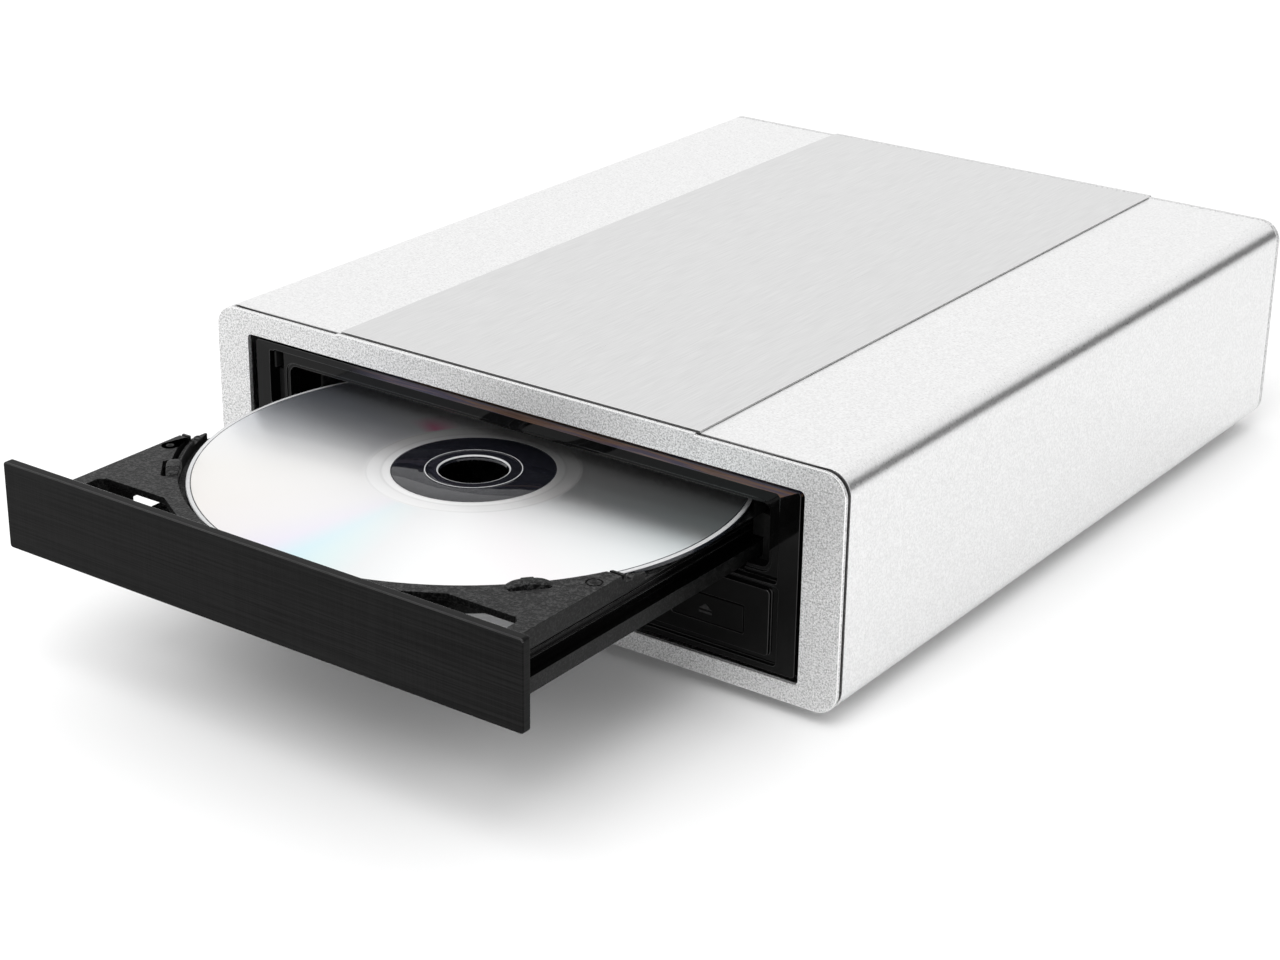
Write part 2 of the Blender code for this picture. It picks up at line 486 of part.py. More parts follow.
part("spindle_motor", rod(0.0, SPINDLE_Y, 12.1, 22.0, 29.5, seg=36), "steel", group=piv)
part("turntable", turned([(0.0, 38.4), (5.6, 38.4), (7.15, 37.2), (7.15, 35.5), (14.0, 35.5), (14.0, 32.6), (2.0, 32.2),
                          (2.0, 29.8), (0.0, 29.8)], 0.0, SPINDLE_Y, seg=36), "black",
     origin=(0.0, SPINDLE_Y, 32.0), group=piv)
LENS_Y = 93.5
part("pickup_sled", box(-24.0, 24.0, 82.6, 104.6, 22.0, 31.4), "steel",
     add=[box(23.0, 27.5, 89.5, 97.5, 25.4, 28.6)],
     cut=[both(rod(-20.5, 27.0, 1.8, 80.0, 107.0, "Y", seg=16), rod(20.5, 27.0, 1.8, 80.0, 107.0, "Y", seg=16)),
          rod(0.0, LENS_Y, 6.0, 29.5, 33.0, seg=24)], origin=(0.0, LENS_Y, 27.0), group=piv)
part("objective_lens", turned([(0.0, 34.2), (2.0, 34.1), (3.4, 33.4), (4.6, 33.2), (4.6, 29.8), (0.0, 29.8)],
                              0.0, LENS_Y, seg=24), "lens", group=piv)
part("sled_motor", rod(29.3, 27.0, 4.5, 135.0, 148.7, "Y", seg=24), "steel", group=piv)
part("lead_screw", rod(29.3, 27.0, 1.4, 86.0, 134.7, "Y", seg=16), "steel", origin=(29.3, 110.0, 27.0), group=piv)

# cam slider: two rising slots carry the traverse's pins
low = PIVOT[2] + (PIN_Z - PIVOT[2]) * math.cos(TILT) - (PIVOT[1] - 39.5) * math.sin(TILT)


def cam_slot(xp):
    """A slot with round ends from the pin's low place to its high place."""
    ax, az, bx, bz = xp, low, xp - CAM_TRAVEL, PIN_Z
    a = math.degrees(math.atan2(bz - az, bx - ax))
    return circle(bx, bz, 1.9, 9, a - 90, a + 90) + circle(ax, az, 1.9, 9, a + 90, a + 270)


part("cam_slider", plate([rect(-26.5, 20.0, 10.7, 29.6, 0.6, 2), cam_slot(-4.0), cam_slot(16.0)], 38.0, 41.0, "Y"), "acetal")

# ---- rear electronics ------------------------------------------------------------------------------------
part("bridge_board", box(22.0, 74.0, 176.0, 207.0, 7.8, 9.4), "pcb")
ux, uz = (USB[0] + USB[1]) / 2, (USB[2] + USB[3]) / 2
usb = part("usb_socket", box(USB[0], USB[1], 192.0, 209.6, USB[2], USB[3]), "steel",
           cut=[plate([[(ux - 4.3, uz - 4.0), (ux + 4.3, uz - 4.0), (ux + 4.3, uz + 2.2), (ux + 2.4, uz + 4.0),
                        (ux - 2.4, uz + 4.0), (ux - 4.3, uz + 2.2)]], 200.0, 211.0, "Y")])
t = _object("usb_socket_tongue", box(ux - 2.8, ux + 2.8, 199.0, 208.4, uz - 1.7, uz + 1.3), CUTS, None, None)
t.hide_render = True
t.display_type = "WIRE"
md = usb.modifiers.new("tongue", "BOOLEAN")
md.operation, md.solver, md.object = "UNION", "EXACT", t
px, pz = (PWR[0] + PWR[1]) / 2, (PWR[2] + PWR[3]) / 2
pwr = part("power_inlet", box(PWR[0], PWR[1], 195.0, 209.6, PWR[2], PWR[3]), "black",
           cut=[rod(px, pz, 3.3, 199.0, 211.0, "Y", seg=24)])
t = _object("power_inlet_pin", rod(px, pz, 1.05, 198.0, 208.2, "Y", seg=12), CUTS, None, None)
t.hide_render = True
t.display_type = "WIRE"
md = pwr.modifiers.new("pin", "BOOLEAN")
md.operation, md.solver, md.object = "UNION", "EXACT", t
part("link_connector", box(31.0, 61.0, 166.0, 182.0, 9.7, 15.7), "black")

# rocker switch: housing snapped into the rear panel, rocker on two trunnions
part("switch_housing", box(SW_X - 6.5, SW_X + 6.5, 198.0, 210.8, SW_Z - 9.5, SW_Z + 9.5), "black",
     add=[plate([rect(SW_X - 8.0, SW_X + 8.0, SW_Z - 11.0, SW_Z + 11.0, 0.8, 3)], PANEL_Y1 + GAP, REAR_MAX, "Y")],
     cut=[box(SW_X - 5.2, SW_X + 5.2, 200.0, 213.0, SW_Z - 8.3, SW_Z + 8.3),
          rod(206.0, SW_Z, 1.3, SW_X - 6.0, SW_X + 6.0, "X", seg=16)])
ROCK = math.radians(-6.0)
rk = []
for y, z in [(-2.5, -4.5), (1.0, -7.3), (3.4, -7.1), (2.3, 0.0), (3.4, 7.1), (1.0, 7.3), (-2.5, 4.5)]:
    rk.append((206.0 + y * math.cos(ROCK) - z * math.sin(ROCK), SW_Z + y * math.sin(ROCK) + z * math.cos(ROCK)))
part("rocker", plate([rk], SW_X - 4.8, SW_X + 4.8, "X"), "black",
     add=[rod(206.0, SW_Z, 1.0, SW_X - 5.7, SW_X + 5.7, "X", seg=16)], origin=(SW_X, 206.0, SW_Z))
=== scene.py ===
"""Looks of the external optical drive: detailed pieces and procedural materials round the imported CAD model.

Lengths in the piece builders are millimetres in the drive's design frame (y = 0 at the front frame's face,
z = 0 at the enclosure's underside); PLACE turns them into the row frame's metres.
"""
import bpy
import bmesh
import json
import math
from mathutils import Matrix, Vector

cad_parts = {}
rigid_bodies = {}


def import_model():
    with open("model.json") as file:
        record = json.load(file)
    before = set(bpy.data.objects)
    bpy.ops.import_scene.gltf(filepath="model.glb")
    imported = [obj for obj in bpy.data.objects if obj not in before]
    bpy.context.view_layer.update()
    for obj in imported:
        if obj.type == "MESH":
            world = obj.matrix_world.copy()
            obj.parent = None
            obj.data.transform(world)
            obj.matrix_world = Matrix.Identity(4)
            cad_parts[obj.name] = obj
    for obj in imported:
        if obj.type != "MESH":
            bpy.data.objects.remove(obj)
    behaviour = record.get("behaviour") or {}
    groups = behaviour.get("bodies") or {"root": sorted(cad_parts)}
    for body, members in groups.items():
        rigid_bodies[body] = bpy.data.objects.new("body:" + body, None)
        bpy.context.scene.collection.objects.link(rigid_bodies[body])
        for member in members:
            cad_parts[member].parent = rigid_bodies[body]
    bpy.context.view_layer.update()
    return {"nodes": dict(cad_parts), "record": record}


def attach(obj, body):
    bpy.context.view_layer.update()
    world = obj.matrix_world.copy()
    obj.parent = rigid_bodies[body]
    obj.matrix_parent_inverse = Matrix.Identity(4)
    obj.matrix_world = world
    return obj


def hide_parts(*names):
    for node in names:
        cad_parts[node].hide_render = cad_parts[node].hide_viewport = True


for ob in list(bpy.data.objects):
    bpy.data.objects.remove(ob, do_unlink=True)

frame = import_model()
NODES = frame["nodes"]
SCN = bpy.context.scene

Y_OFF, Z_OFF = -65.55, 3.0
PLACE = Matrix.Translation((0.0, Y_OFF * 0.001, Z_OFF * 0.001)) @ Matrix.Diagonal((0.001, 0.001, 0.001, 1.0))


# ============================================================================== camera
def make_camera():
    az, el, roll = math.radians(35.47), math.radians(23.0), math.radians(0.8)
    back = Vector((math.sin(az) * math.cos(el), -math.cos(az) * math.cos(el), math.sin(el)))
    fwd = -back
    right = fwd.cross(Vector((0, 0, 1))).normalized()
    up = right.cross(fwd)
    r2 = right * math.cos(roll) + up * math.sin(roll)
    u2 = -right * math.sin(roll) + up * math.cos(roll)
    cam = bpy.data.cameras.new("camera")
    cam.lens = 74.33
    cam.sensor_width = 36.0
    cam.sensor_fit = "HORIZONTAL"
    cam.clip_start, cam.clip_end = 0.01, 50.0
    ob = bpy.data.objects.new("camera", cam)
    ob.matrix_world = Matrix(((r2.x, u2.x, back.x, 0.32646), (r2.y, u2.y, back.y, -0.47450),
                              (r2.z, u2.z, back.z, 0.25600), (0, 0, 0, 1)))
    SCN.collection.objects.link(ob)
    SCN.camera = ob


make_camera()


# ============================================================================== node helpers
class Tree:
    """Short names for building a material's nodes."""

    def __init__(self, name):
        self.mat = bpy.data.materials.new(name)
        self.mat.use_nodes = True
        self.t = self.mat.node_tree
        self.b = self.t.nodes["Principled BSDF"]
        self.co = self.add("ShaderNodeTexCoord").outputs["Object"]

    def add(self, kind, **props):
        n = self.t.nodes.new(kind)
        for k, v in props.items():
            setattr(n, k, v)
        return n

    def link(self, a, b):
        self.t.links.new(a, b)

    def mapped(self, scale=(1, 1, 1), rot=(0, 0, 0), loc=(0, 0, 0)):
        m = self.add("ShaderNodeMapping")
        m.inputs["Scale"].default_value = scale
        m.inputs["Rotation"].default_value = rot
        m.inputs["Location"].default_value = loc
        self.link(self.co, m.inputs["Vector"])
        return m.outputs["Vector"]

    def noise(self, scale, detail=3.0, rough=0.5, vec=None, dist=0.0):
        n = self.add("ShaderNodeTexNoise")
        n.inputs["Scale"].default_value = scale
        n.inputs["Detail"].default_value = detail
        n.inputs["Roughness"].default_value = rough
        n.inputs["Distortion"].default_value = dist
        self.link(vec if vec is not None else self.co, n.inputs["Vector"])
        return n.outputs["Fac"]

    def voronoi(self, scale, vec=None, feature="F1", rand=1.0):
        n = self.add("ShaderNodeTexVoronoi", feature=feature)
        n.inputs["Scale"].default_value = scale
        n.inputs["Randomness"].default_value = rand
        self.link(vec if vec is not None else self.co, n.inputs["Vector"])
        return n.outputs["Distance"]

    def ramp(self, fac, stops):
        r = self.add("ShaderNodeValToRGB")
        e = r.color_ramp.elements
        while len(e) < len(stops):
            e.new(0.5)
        for el, (p, c) in zip(e, stops):
            el.position = p
            el.color = (*c, 1.0) if isinstance(c, (tuple, list)) else (c, c, c, 1.0)
        self.link(fac, r.inputs["Fac"])
        return r.outputs["Color"]

    def remap(self, fac, a, b, lo, hi):
        m = self.add("ShaderNodeMapRange")
        m.inputs["From Min"].default_value = a
        m.inputs["From Max"].default_value = b
        m.inputs["To Min"].default_value = lo
        m.inputs["To Max"].default_value = hi
        self.link(fac, m.inputs["Value"])
        return m.outputs["Result"]

    def math(self, op, a, b=None, clamp=False):
        m = self.add("ShaderNodeMath", operation=op, use_clamp=clamp)
        for i, v in enumerate((a, b)):
            if v is None:
                continue
            if isinstance(v, (int, float)):
                m.inputs[i].default_value = v
            else:
                self.link(v, m.inputs[i])
        return m.outputs[0]

    def mix(self, fac, a, b, blend="MIX"):
        m = self.add("ShaderNodeMix", data_type="RGBA", blend_type=blend)
        for sock, v in ((m.inputs[0], fac), (m.inputs[6], a), (m.inputs[7], b)):
            if isinstance(v, (int, float)):
                sock.default_value = v
            elif isinstance(v, tuple):
                sock.default_value = (*v, 1.0)
            else:
                self.link(v, sock)
        return m.outputs[2]

    def bump(self, height, strength, distance, normal=None):
        b = self.add("ShaderNodeBump")
        b.inputs["Strength"].default_value = strength
        b.inputs["Distance"].default_value = distance
        self.link(height, b.inputs["Height"])
        if normal is not None:
            self.link(normal, b.inputs["Normal"])
        return b.outputs["Normal"]

    def set(self, **kw):
        names = {"base": "Base Color", "metal": "Metallic", "rough": "Roughness", "spec": "Specular IOR Level",
                 "ior": "IOR", "trans": "Transmission Weight", "coat": "Coat Weight", "coat_rough": "Coat Roughness",
                 "normal": "Normal", "sheen": "Sheen Weight", "alpha": "Alpha", "aniso": "Anisotropic",
                 "emit": "Emission Color", "emit_strength": "Emission Strength", "coat_ior": "Coat IOR"}
        for k, v in kw.items():
            s = self.b.inputs[names[k]]
            if isinstance(v, (int, float)):
                s.default_value = v
            elif isinstance(v, tuple):
                s.default_value = (*v, 1.0)
            else:
                self.link(v, s)
        return self.mat


# ============================================================================== materials
def m_anodised():
    """Satin clear-anodised extrusion: very fine sparkle, faint long die lines along the depth."""
    t = Tree("anodised_aluminium")
    fine = t.noise(2100, 2.0, 0.6)
    lines = t.noise(1.0, 2.0, 0.5, t.mapped((1500, 12, 1500)))
    cloud = t.noise(14, 2.0, 0.5)
    v = t.mix(0.12, t.ramp(fine, [(0.34, 0.69), (0.66, 0.89)]), t.ramp(lines, [(0.3, 0.77), (0.7, 0.82)]))
    v = t.mix(t.remap(cloud, 0.35, 0.65, 0.0, 0.10), v, (0.77, 0.77, 0.775))
    r = t.remap(fine, 0.25, 0.75, 0.26, 0.38)
    n = t.bump(fine, 0.16, 0.00005)
    return t.set(base=v, metal=0.95, rough=r, normal=n)


def m_brushed():
    """Brushed aluminium plate: streaks run along the depth, a little darker than the sleeve."""
    t = Tree("brushed_aluminium")
    a = t.noise(1.0, 3.0, 0.65, t.mapped((2600, 22, 2600)))
    b = t.noise(1.0, 2.0, 0.5, t.mapped((900, 9, 900), loc=(3.1, 1.7, 0)))
    c = t.noise(1.0, 1.0, 0.5, t.mapped((3600, 110, 3600), loc=(1.3, 7.7, 0)))
    v = t.mix(0.35, t.ramp(a, [(0.28, 0.60), (0.72, 0.70)]), t.ramp(b, [(0.30, 0.63), (0.70, 0.68)]))
    v = t.mix(0.28, v, t.ramp(c, [(0.35, 0.55), (0.65, 0.75)]))
    r = t.remap(a, 0.25, 0.75, 0.27, 0.36)
    n = t.bump(t.math("ADD", t.math("MULTIPLY", a, 0.6), c), 0.07, 0.00005)
    return t.set(base=v, metal=1.0, rough=r, normal=n)


def m_blasted():
    """Bead-blasted front frame: coarse sparkle, light and dark grains."""
    t = Tree("blasted_aluminium")
    g = t.noise(2500, 2.0, 0.75)
    g2 = t.voronoi(2800)
    cloud = t.noise(20, 2.0, 0.5)
    v = t.mix(0.40, t.ramp(g, [(0.39, 0.30), (0.50, 0.80), (0.61, 1.0)]), t.ramp(g2, [(0.05, 1.0), (0.52, 0.50)]))
    v = t.mix(t.remap(cloud, 0.35, 0.65, 0.0, 0.10), v, (0.68, 0.68, 0.69))
    r = t.remap(g, 0.3, 0.7, 0.44, 0.60)
    n = t.bump(t.math("ADD", g, t.math("MULTIPLY", g2, 0.6)), 0.42, 0.00008)
    return t.set(base=v, metal=0.80, rough=r, normal=n)


def m_polished_edge():
    """Cut and brightened chamfer of the front frame and the inlay."""
    t = Tree("bright_cut_aluminium")
    s = t.noise(1.0, 2.0, 0.5, t.mapped((1200, 1200, 1200)))
    return t.set(base=t.ramp(s, [(0.3, 0.86), (0.7, 0.95)]), metal=0.95, rough=t.remap(s, 0.3, 0.7, 0.16, 0.26))


def m_gloss_black():
    t = Tree("gloss_black_plastic")
    s = t.noise(300, 2.0, 0.5)
    dust = t.voronoi(420, rand=1.0)
    v = t.mix(t.remap(dust, 0.0, 0.06, 0.10, 0.0), t.ramp(s, [(0.3, 0.0012), (0.7, 0.0022)]), (0.02, 0.02, 0.02))
    r = t.remap(s, 0.3, 0.7, 0.045, 0.085)
    n = t.bump(t.noise(60, 1.0, 0.5), 0.03, 0.0002)
    return t.set(base=v, rough=r, spec=0.14, normal=n)


def m_lip_painted_reflection():
    """Upper lip of the bezel: warm and cool streaks in the colour, a painted reflection of the disc just under it, kept
    away from its left end.
    """
    t = Tree("gloss_black_lip_painted_reflection")
    a = t.noise(1.0, 3.0, 0.6, t.mapped((26, 26, 900)))
    b = t.noise(1.0, 2.0, 0.5, t.mapped((55, 55, 1600), loc=(4.2, 0.0, 1.3)))
    # warm and cool streaks: painted reflection of the disc
    v = t.ramp(a, [(0.30, (0.004, 0.004, 0.008)), (0.45, (0.105, 0.062, 0.044)), (0.56, (0.034, 0.034, 0.062)), (0.70, (0.15, 0.10, 0.082))])
    sx = t.add("ShaderNodeSeparateXYZ")
    t.link(t.co, sx.inputs[0])
    # the painted reflection fades to plain black between x = -34 and -46 mm
    v = t.mix(t.remap(sx.outputs[0], -0.046, -0.034, 0.0, 1.0), (0.0018, 0.0018, 0.0020), v)
    n = t.bump(t.math("ADD", a, b), 0.10, 0.0002)
    return t.set(base=v, rough=t.remap(b, 0.3, 0.7, 0.05, 0.12), spec=0.16, normal=n)


def m_gloss_edge():
    """Rounded edges of the polished black mouldings, where the light catches."""
    t = Tree("gloss_black_edge")
    s = t.noise(500, 2.0, 0.5)
    return t.set(base=t.ramp(s, [(0.3, 0.002), (0.7, 0.005)]), rough=t.remap(s, 0.3, 0.7, 0.08, 0.14), spec=0.6)


def m_matte_black(name="matte_black_plastic", lo=0.004, hi=0.012, grain=1600, rough=0.55):
    """Moulded black plastic with a spark-eroded grain."""
    t = Tree(name)
    g = t.noise(grain, 3.0, 0.6)
    w = t.noise(25, 2.0, 0.5)
    v = t.mix(0.25, t.ramp(g, [(0.32, lo), (0.68, hi)]), t.ramp(w, [(0.3, lo), (0.7, hi)]))
    n = t.bump(g, 0.22, 0.0001)
    return t.set(base=v, rough=t.remap(g, 0.3, 0.7, rough - 0.08, rough + 0.10), spec=0.22, normal=n)


def m_tray():
    """Tray moulding: dark grey, evenly grained, with lighter grain tips."""
    t = Tree("tray_plastic")
    g = t.noise(1150, 3.0, 0.75)
    g2 = t.voronoi(1400)
    w = t.noise(30, 2.0, 0.5)
    v = t.mix(0.5, t.ramp(g, [(0.42, 0.0006), (0.50, 0.004), (0.58, 0.090)]), t.ramp(g2, [(0.0, 0.080), (0.30, 0.0010)]))
    v = t.mix(t.remap(w, 0.35, 0.65, 0.0, 0.25), v, (0.011, 0.011, 0.012))
    n = t.bump(t.math("ADD", g, t.math("MULTIPLY", g2, -0.5)), 0.60, 0.00020)
    return t.set(base=v, rough=t.remap(g, 0.3, 0.7, 0.40, 0.60), spec=0.17, normal=n)


def m_tray_side_painted_shade():
    """The tray's upright faces: the same plastic with a finer grain, and darker than the top faces as painted shade."""
    t = Tree("tray_side_plastic_painted_shade")
    g = t.noise(2200, 3.0, 0.7)
    v = t.ramp(g, [(0.38, 0.0006), (0.50, 0.004), (0.62, 0.018)])
    return t.set(base=v, rough=t.remap(g, 0.3, 0.7, 0.34, 0.50), spec=0.13, normal=t.bump(g, 0.28, 0.00008))


def m_tray_groove_painted_shade():
    """Running grooves of the tray: smooth, and very dark as painted shade inside the grooves."""
    t = Tree("tray_groove_plastic_painted_shade")
    g = t.noise(1.0, 2.0, 0.5, t.mapped((900, 20, 900)))
    return t.set(base=t.ramp(g, [(0.3, 0.0004), (0.7, 0.0012)]), rough=t.remap(g, 0.3, 0.7, 0.16, 0.26), spec=0.12,
                 normal=t.bump(g, 0.10, 0.00006))


def m_door():
    """Door front: black with very fine level lines and a faint upright weave."""
    t = Tree("door_plastic")
    a = t.noise(1.0, 2.0, 0.6, t.mapped((45, 45, 4200)))
    b = t.noise(1.0, 2.0, 0.5, t.mapped((2600, 2600, 40)))
    v = t.mix(0.24, t.ramp(a, [(0.36, 0.0003), (0.64, 0.0085)]), t.ramp(b, [(0.36, 0.0010), (0.64, 0.0065)]))
    n = t.bump(t.math("ADD", a, t.math("MULTIPLY", b, 0.3)), 0.34, 0.00006)
    return t.set(base=v, rough=t.remap(a, 0.3, 0.7, 0.38, 0.52), spec=0.075, normal=n)


def m_edge_painted_highlight():
    """Slightly shinier and lighter black: painted highlight along the door's top edge and on the tray's groove runners.
    """
    t = Tree("edge_painted_highlight_plastic")
    a = t.noise(1.0, 2.0, 0.6, t.mapped((300, 300, 1500)))
    return t.set(base=t.ramp(a, [(0.3, 0.006), (0.7, 0.016)]), rough=t.remap(a, 0.3, 0.7, 0.16, 0.26), spec=0.42)


def m_zinc():
    """Zinc-plated sheet: soft spangle and fine rolling lines."""
    t = Tree("zinc_steel")
    sp = t.add("ShaderNodeTexVoronoi")
    sp.inputs["Scale"].default_value = 140
    t.link(t.co, sp.inputs["Vector"])
    tone = t.ramp(sp.outputs["Color"], [(0.0, 0.44), (1.0, 0.60)])
    l = t.noise(1.0, 3.0, 0.6, t.mapped((1500, 30, 1500)))
    v = t.mix(0.5, tone, t.ramp(l, [(0.3, 0.46), (0.7, 0.62)]))
    return t.set(base=v, metal=1.0, rough=t.remap(l, 0.3, 0.7, 0.28, 0.42), normal=t.bump(l, 0.06, 0.00005))


def m_screw():
    """Nickel-plated screws and rods: turned rings, a little darker in the low places."""
    t = Tree("screw_steel")
    g = t.noise(900, 2.0, 0.5)
    l = t.noise(1.0, 2.0, 0.5, t.mapped((60, 5200, 60)))
    v = t.mix(0.4, t.ramp(g, [(0.3, 0.40), (0.7, 0.62)]), t.ramp(l, [(0.3, 0.44), (0.7, 0.60)]))
    return t.set(base=v, metal=1.0, rough=t.remap(g, 0.3, 0.7, 0.18, 0.32), normal=t.bump(l, 0.05, 0.00004))


def m_screw_black():
    t = Tree("black_screw_steel")
    g = t.noise(1100, 2.0, 0.5)
    return t.set(base=t.ramp(g, [(0.3, 0.020), (0.7, 0.055)]), metal=0.7, rough=t.remap(g, 0.3, 0.7, 0.30, 0.44),
                 normal=t.bump(g, 0.08, 0.00005))


def m_rubber():
    t = Tree("black_rubber")
    g = t.noise(1300, 3.0, 0.6)
    w = t.noise(70, 2.0, 0.5)
    v = t.mix(0.35, t.ramp(g, [(0.3, 0.008), (0.7, 0.020)]), t.ramp(w, [(0.3, 0.010), (0.7, 0.028)]))
    return t.set(base=v, rough=t.remap(g, 0.3, 0.7, 0.72, 0.92), spec=0.25, normal=t.bump(g, 0.25, 0.0001))


def m_acetal():
    """Black acetal gears: a slightly waxy moulded surface."""
    t = Tree("black_acetal")
    w = t.noise(60, 2.0, 0.5)
    g = t.noise(1500, 2.0, 0.5)
    v = t.mix(0.5, t.ramp(w, [(0.3, 0.006), (0.7, 0.012)]), t.ramp(g, [(0.3, 0.005), (0.7, 0.014)]))
    return t.set(base=v, rough=t.remap(g, 0.3, 0.7, 0.30, 0.42), spec=0.3, normal=t.bump(g, 0.08, 0.0001))


def m_pcb():
    """Green solder mask with routed tracks and small pads."""
    t = Tree("circuit_board")
    br = t.add("ShaderNodeTexBrick")
    br.inputs["Scale"].default_value = 420
    br.inputs["Mortar Size"].default_value = 0.035
    br.inputs["Color1"].default_value = (0.010, 0.115, 0.045, 1)
    br.inputs["Color2"].default_value = (0.014, 0.140, 0.055, 1)
    br.inputs["Mortar"].default_value = (0.030, 0.24, 0.10, 1)
    t.link(t.co, br.inputs["Vector"])
    pads = t.voronoi(330)
    v = t.mix(t.remap(pads, 0.10, 0.14, 1.0, 0.0), br.outputs["Color"], (0.62, 0.60, 0.50))
    return t.set(base=v, rough=t.remap(pads, 0.1, 0.3, 0.25, 0.36), coat=0.3,
                 normal=t.bump(br.outputs["Fac"], -0.2, 0.0001))


def m_brass():
    t = Tree("motor_brass")
    l = t.noise(1.0, 2.0, 0.5, t.mapped((60, 60, 5200)))
    v = t.ramp(l, [(0.3, (0.62, 0.44, 0.17)), (0.7, (0.76, 0.58, 0.28))])
    return t.set(base=v, metal=1.0, rough=t.remap(l, 0.3, 0.7, 0.20, 0.34), normal=t.bump(l, 0.06, 0.00005))


def m_sled():
    """Die-cast pickup body."""
    t = Tree("sled_metal")
    g = t.noise(1000, 3.0, 0.6)
    return t.set(base=t.ramp(g, [(0.3, 0.36), (0.7, 0.52)]), metal=0.9, rough=t.remap(g, 0.3, 0.7, 0.40, 0.56),
                 normal=t.bump(g, 0.2, 0.0001))


def m_clear(name="clear_plastic", tint=(0.93, 0.95, 0.95), rough=0.03):
    t = Tree(name)
    g = t.noise(500, 2.0, 0.5)
    return t.set(base=t.mix(0.06, tint, t.ramp(g, [(0.3, 0.8), (0.7, 1.0)])), rough=t.remap(g, 0.3, 0.7, rough, rough + 0.03),
                 trans=1.0, ior=1.55)


def m_hub():
    """Clear polycarbonate hub of the disc."""
    t = Tree("disc_hub_clear")
    g = t.noise(700, 2.0, 0.5)
    w = t.noise(110, 2.0, 0.6, dist=0.4)
    return t.set(base=t.ramp(g, [(0.3, (0.045, 0.047, 0.066)), (0.7, (0.065, 0.068, 0.095))]), rough=t.remap(g, 0.3, 0.7, 0.006, 0.015),
                 trans=0.85, ior=1.50, normal=t.bump(w, 0.16, 0.0006))


# whitish, part-clear plastic on the top edges of the rim and of the hub's rings: painted highlight lines
def m_ring_painted_highlight():
    t = Tree("disc_ring_painted_highlight")
    g = t.noise(700, 2.0, 0.5)
    return t.set(base=t.ramp(g, [(0.3, (0.88, 0.89, 0.90)), (0.7, (0.96, 0.97, 0.98))]), rough=t.remap(g, 0.3, 0.7, 0.08, 0.14),
                 trans=0.35, ior=1.55)


def radial_angle(t):
    """0..1 round the disc's axis, from the piece's own coordinates."""
    g = t.add("ShaderNodeTexGradient", gradient_type="RADIAL")
    t.link(t.co, g.inputs["Vector"])
    return g.outputs["Fac"]


def radius(t, scale=1000.0):
    """Distance from the disc's axis in millimetres."""
    sx = t.add("ShaderNodeSeparateXYZ")
    t.link(t.co, sx.inputs[0])
    rr = t.math("SQRT", t.math("ADD", t.math("POWER", sx.outputs[0], 2.0), t.math("POWER", sx.outputs[1], 2.0)))
    return t.math("MULTIPLY", rr, scale)


def m_disc():
    """Metallised data area: silver with a fine spiral groove; the faint cyan, pink and blue wedges round the axis are a
    painted rainbow sheen, the small pink patch a painted glint.
    """
    t = Tree("disc_mirror")
    ang = radial_angle(t)
    r = radius(t)
    w = (0.915, 0.918, 0.925)
    # wedges of cyan, pink and blue by angle round the axis: painted rainbow sheen, weaker towards the hub
    painted_sheen_hue = t.ramp(ang, [(0.00, (0.86, 0.89, 0.95)), (0.05, (0.84, 0.845, 0.85)), (0.10, (0.83, 0.81, 0.78)), (0.155, (0.835, 0.805, 0.78)),
                       (0.198, (0.85, 0.82, 0.83)), (0.228, (0.82, 0.79, 0.90)), (0.248, (0.64, 0.86, 0.92)), (0.264, (0.72, 0.88, 0.885)),
                       (0.290, (0.84, 0.855, 0.86)), (0.34, (0.965, 0.965, 0.96)), (0.392, (0.965, 0.93, 0.945)), (0.415, (0.95, 0.95, 0.95)),
                       (0.455, (0.90, 0.93, 0.935)), (0.515, (0.78, 0.875, 0.885)), (0.575, w), (0.70, (0.90, 0.91, 0.92)),
                       (0.80, w), (0.90, (0.90, 0.90, 0.92)), (0.96, (0.78, 0.83, 0.95)), (1.0, (0.86, 0.89, 0.95))])
    fade = t.remap(r, 20.0, 60.0, 0.20, 0.95)
    v = t.mix(fade, w, painted_sheen_hue)
    # small pink patch at the hub's rear left, 22.5 to 32 mm out: painted glint
    painted_glint = t.ramp(ang, [(0.0, 0.0), (0.878, 0.0), (0.900, 0.55), (0.915, 1.0), (0.936, 0.0), (1.0, 0.0)])
    near = t.ramp(t.remap(r, 22.5, 32.0, 0.0, 1.0), [(0.0, 0.0), (0.15, 0.9), (0.40, 0.8), (1.0, 0.0)])
    v = t.mix(t.math("MULTIPLY", painted_glint, near), v, (0.95, 0.26, 0.48))
    rings = t.add("ShaderNodeTexWave", wave_type="RINGS", rings_direction="Z")
    rings.inputs["Scale"].default_value = 900
    rings.inputs["Distortion"].default_value = 0.0
    t.link(t.co, rings.inputs["Vector"])
    n = t.bump(rings.outputs["Fac"], 0.035, 0.00002)
    tg = t.add("ShaderNodeTangent", direction_type="RADIAL", axis="Z")
    t.link(tg.outputs["Tangent"], t.b.inputs["Tangent"])
    t.b.inputs["Anisotropic Rotation"].default_value = 0.25
    return t.set(base=v, metal=0.91, rough=t.remap(r, 20.0, 60.0, 0.30, 0.34), aniso=0.75, coat=0.25, coat_rough=0.02, normal=n)


def m_band():
    """Smooth mirror band between the clear hub and the data area."""
    t = Tree("disc_mirror_band")
    r = radius(t)
    v = t.ramp(t.remap(r, 18.0, 23.0, 0.0, 1.0), [(0.0, 0.97), (0.22, 0.96), (0.30, 0.80), (0.40, 0.90), (0.86, 0.93), (0.93, 0.82), (1.0, 0.90)])
    return t.set(base=v, metal=0.88, rough=t.remap(r, 18.0, 23.0, 0.34, 0.30), coat=0.4, coat_rough=0.02)


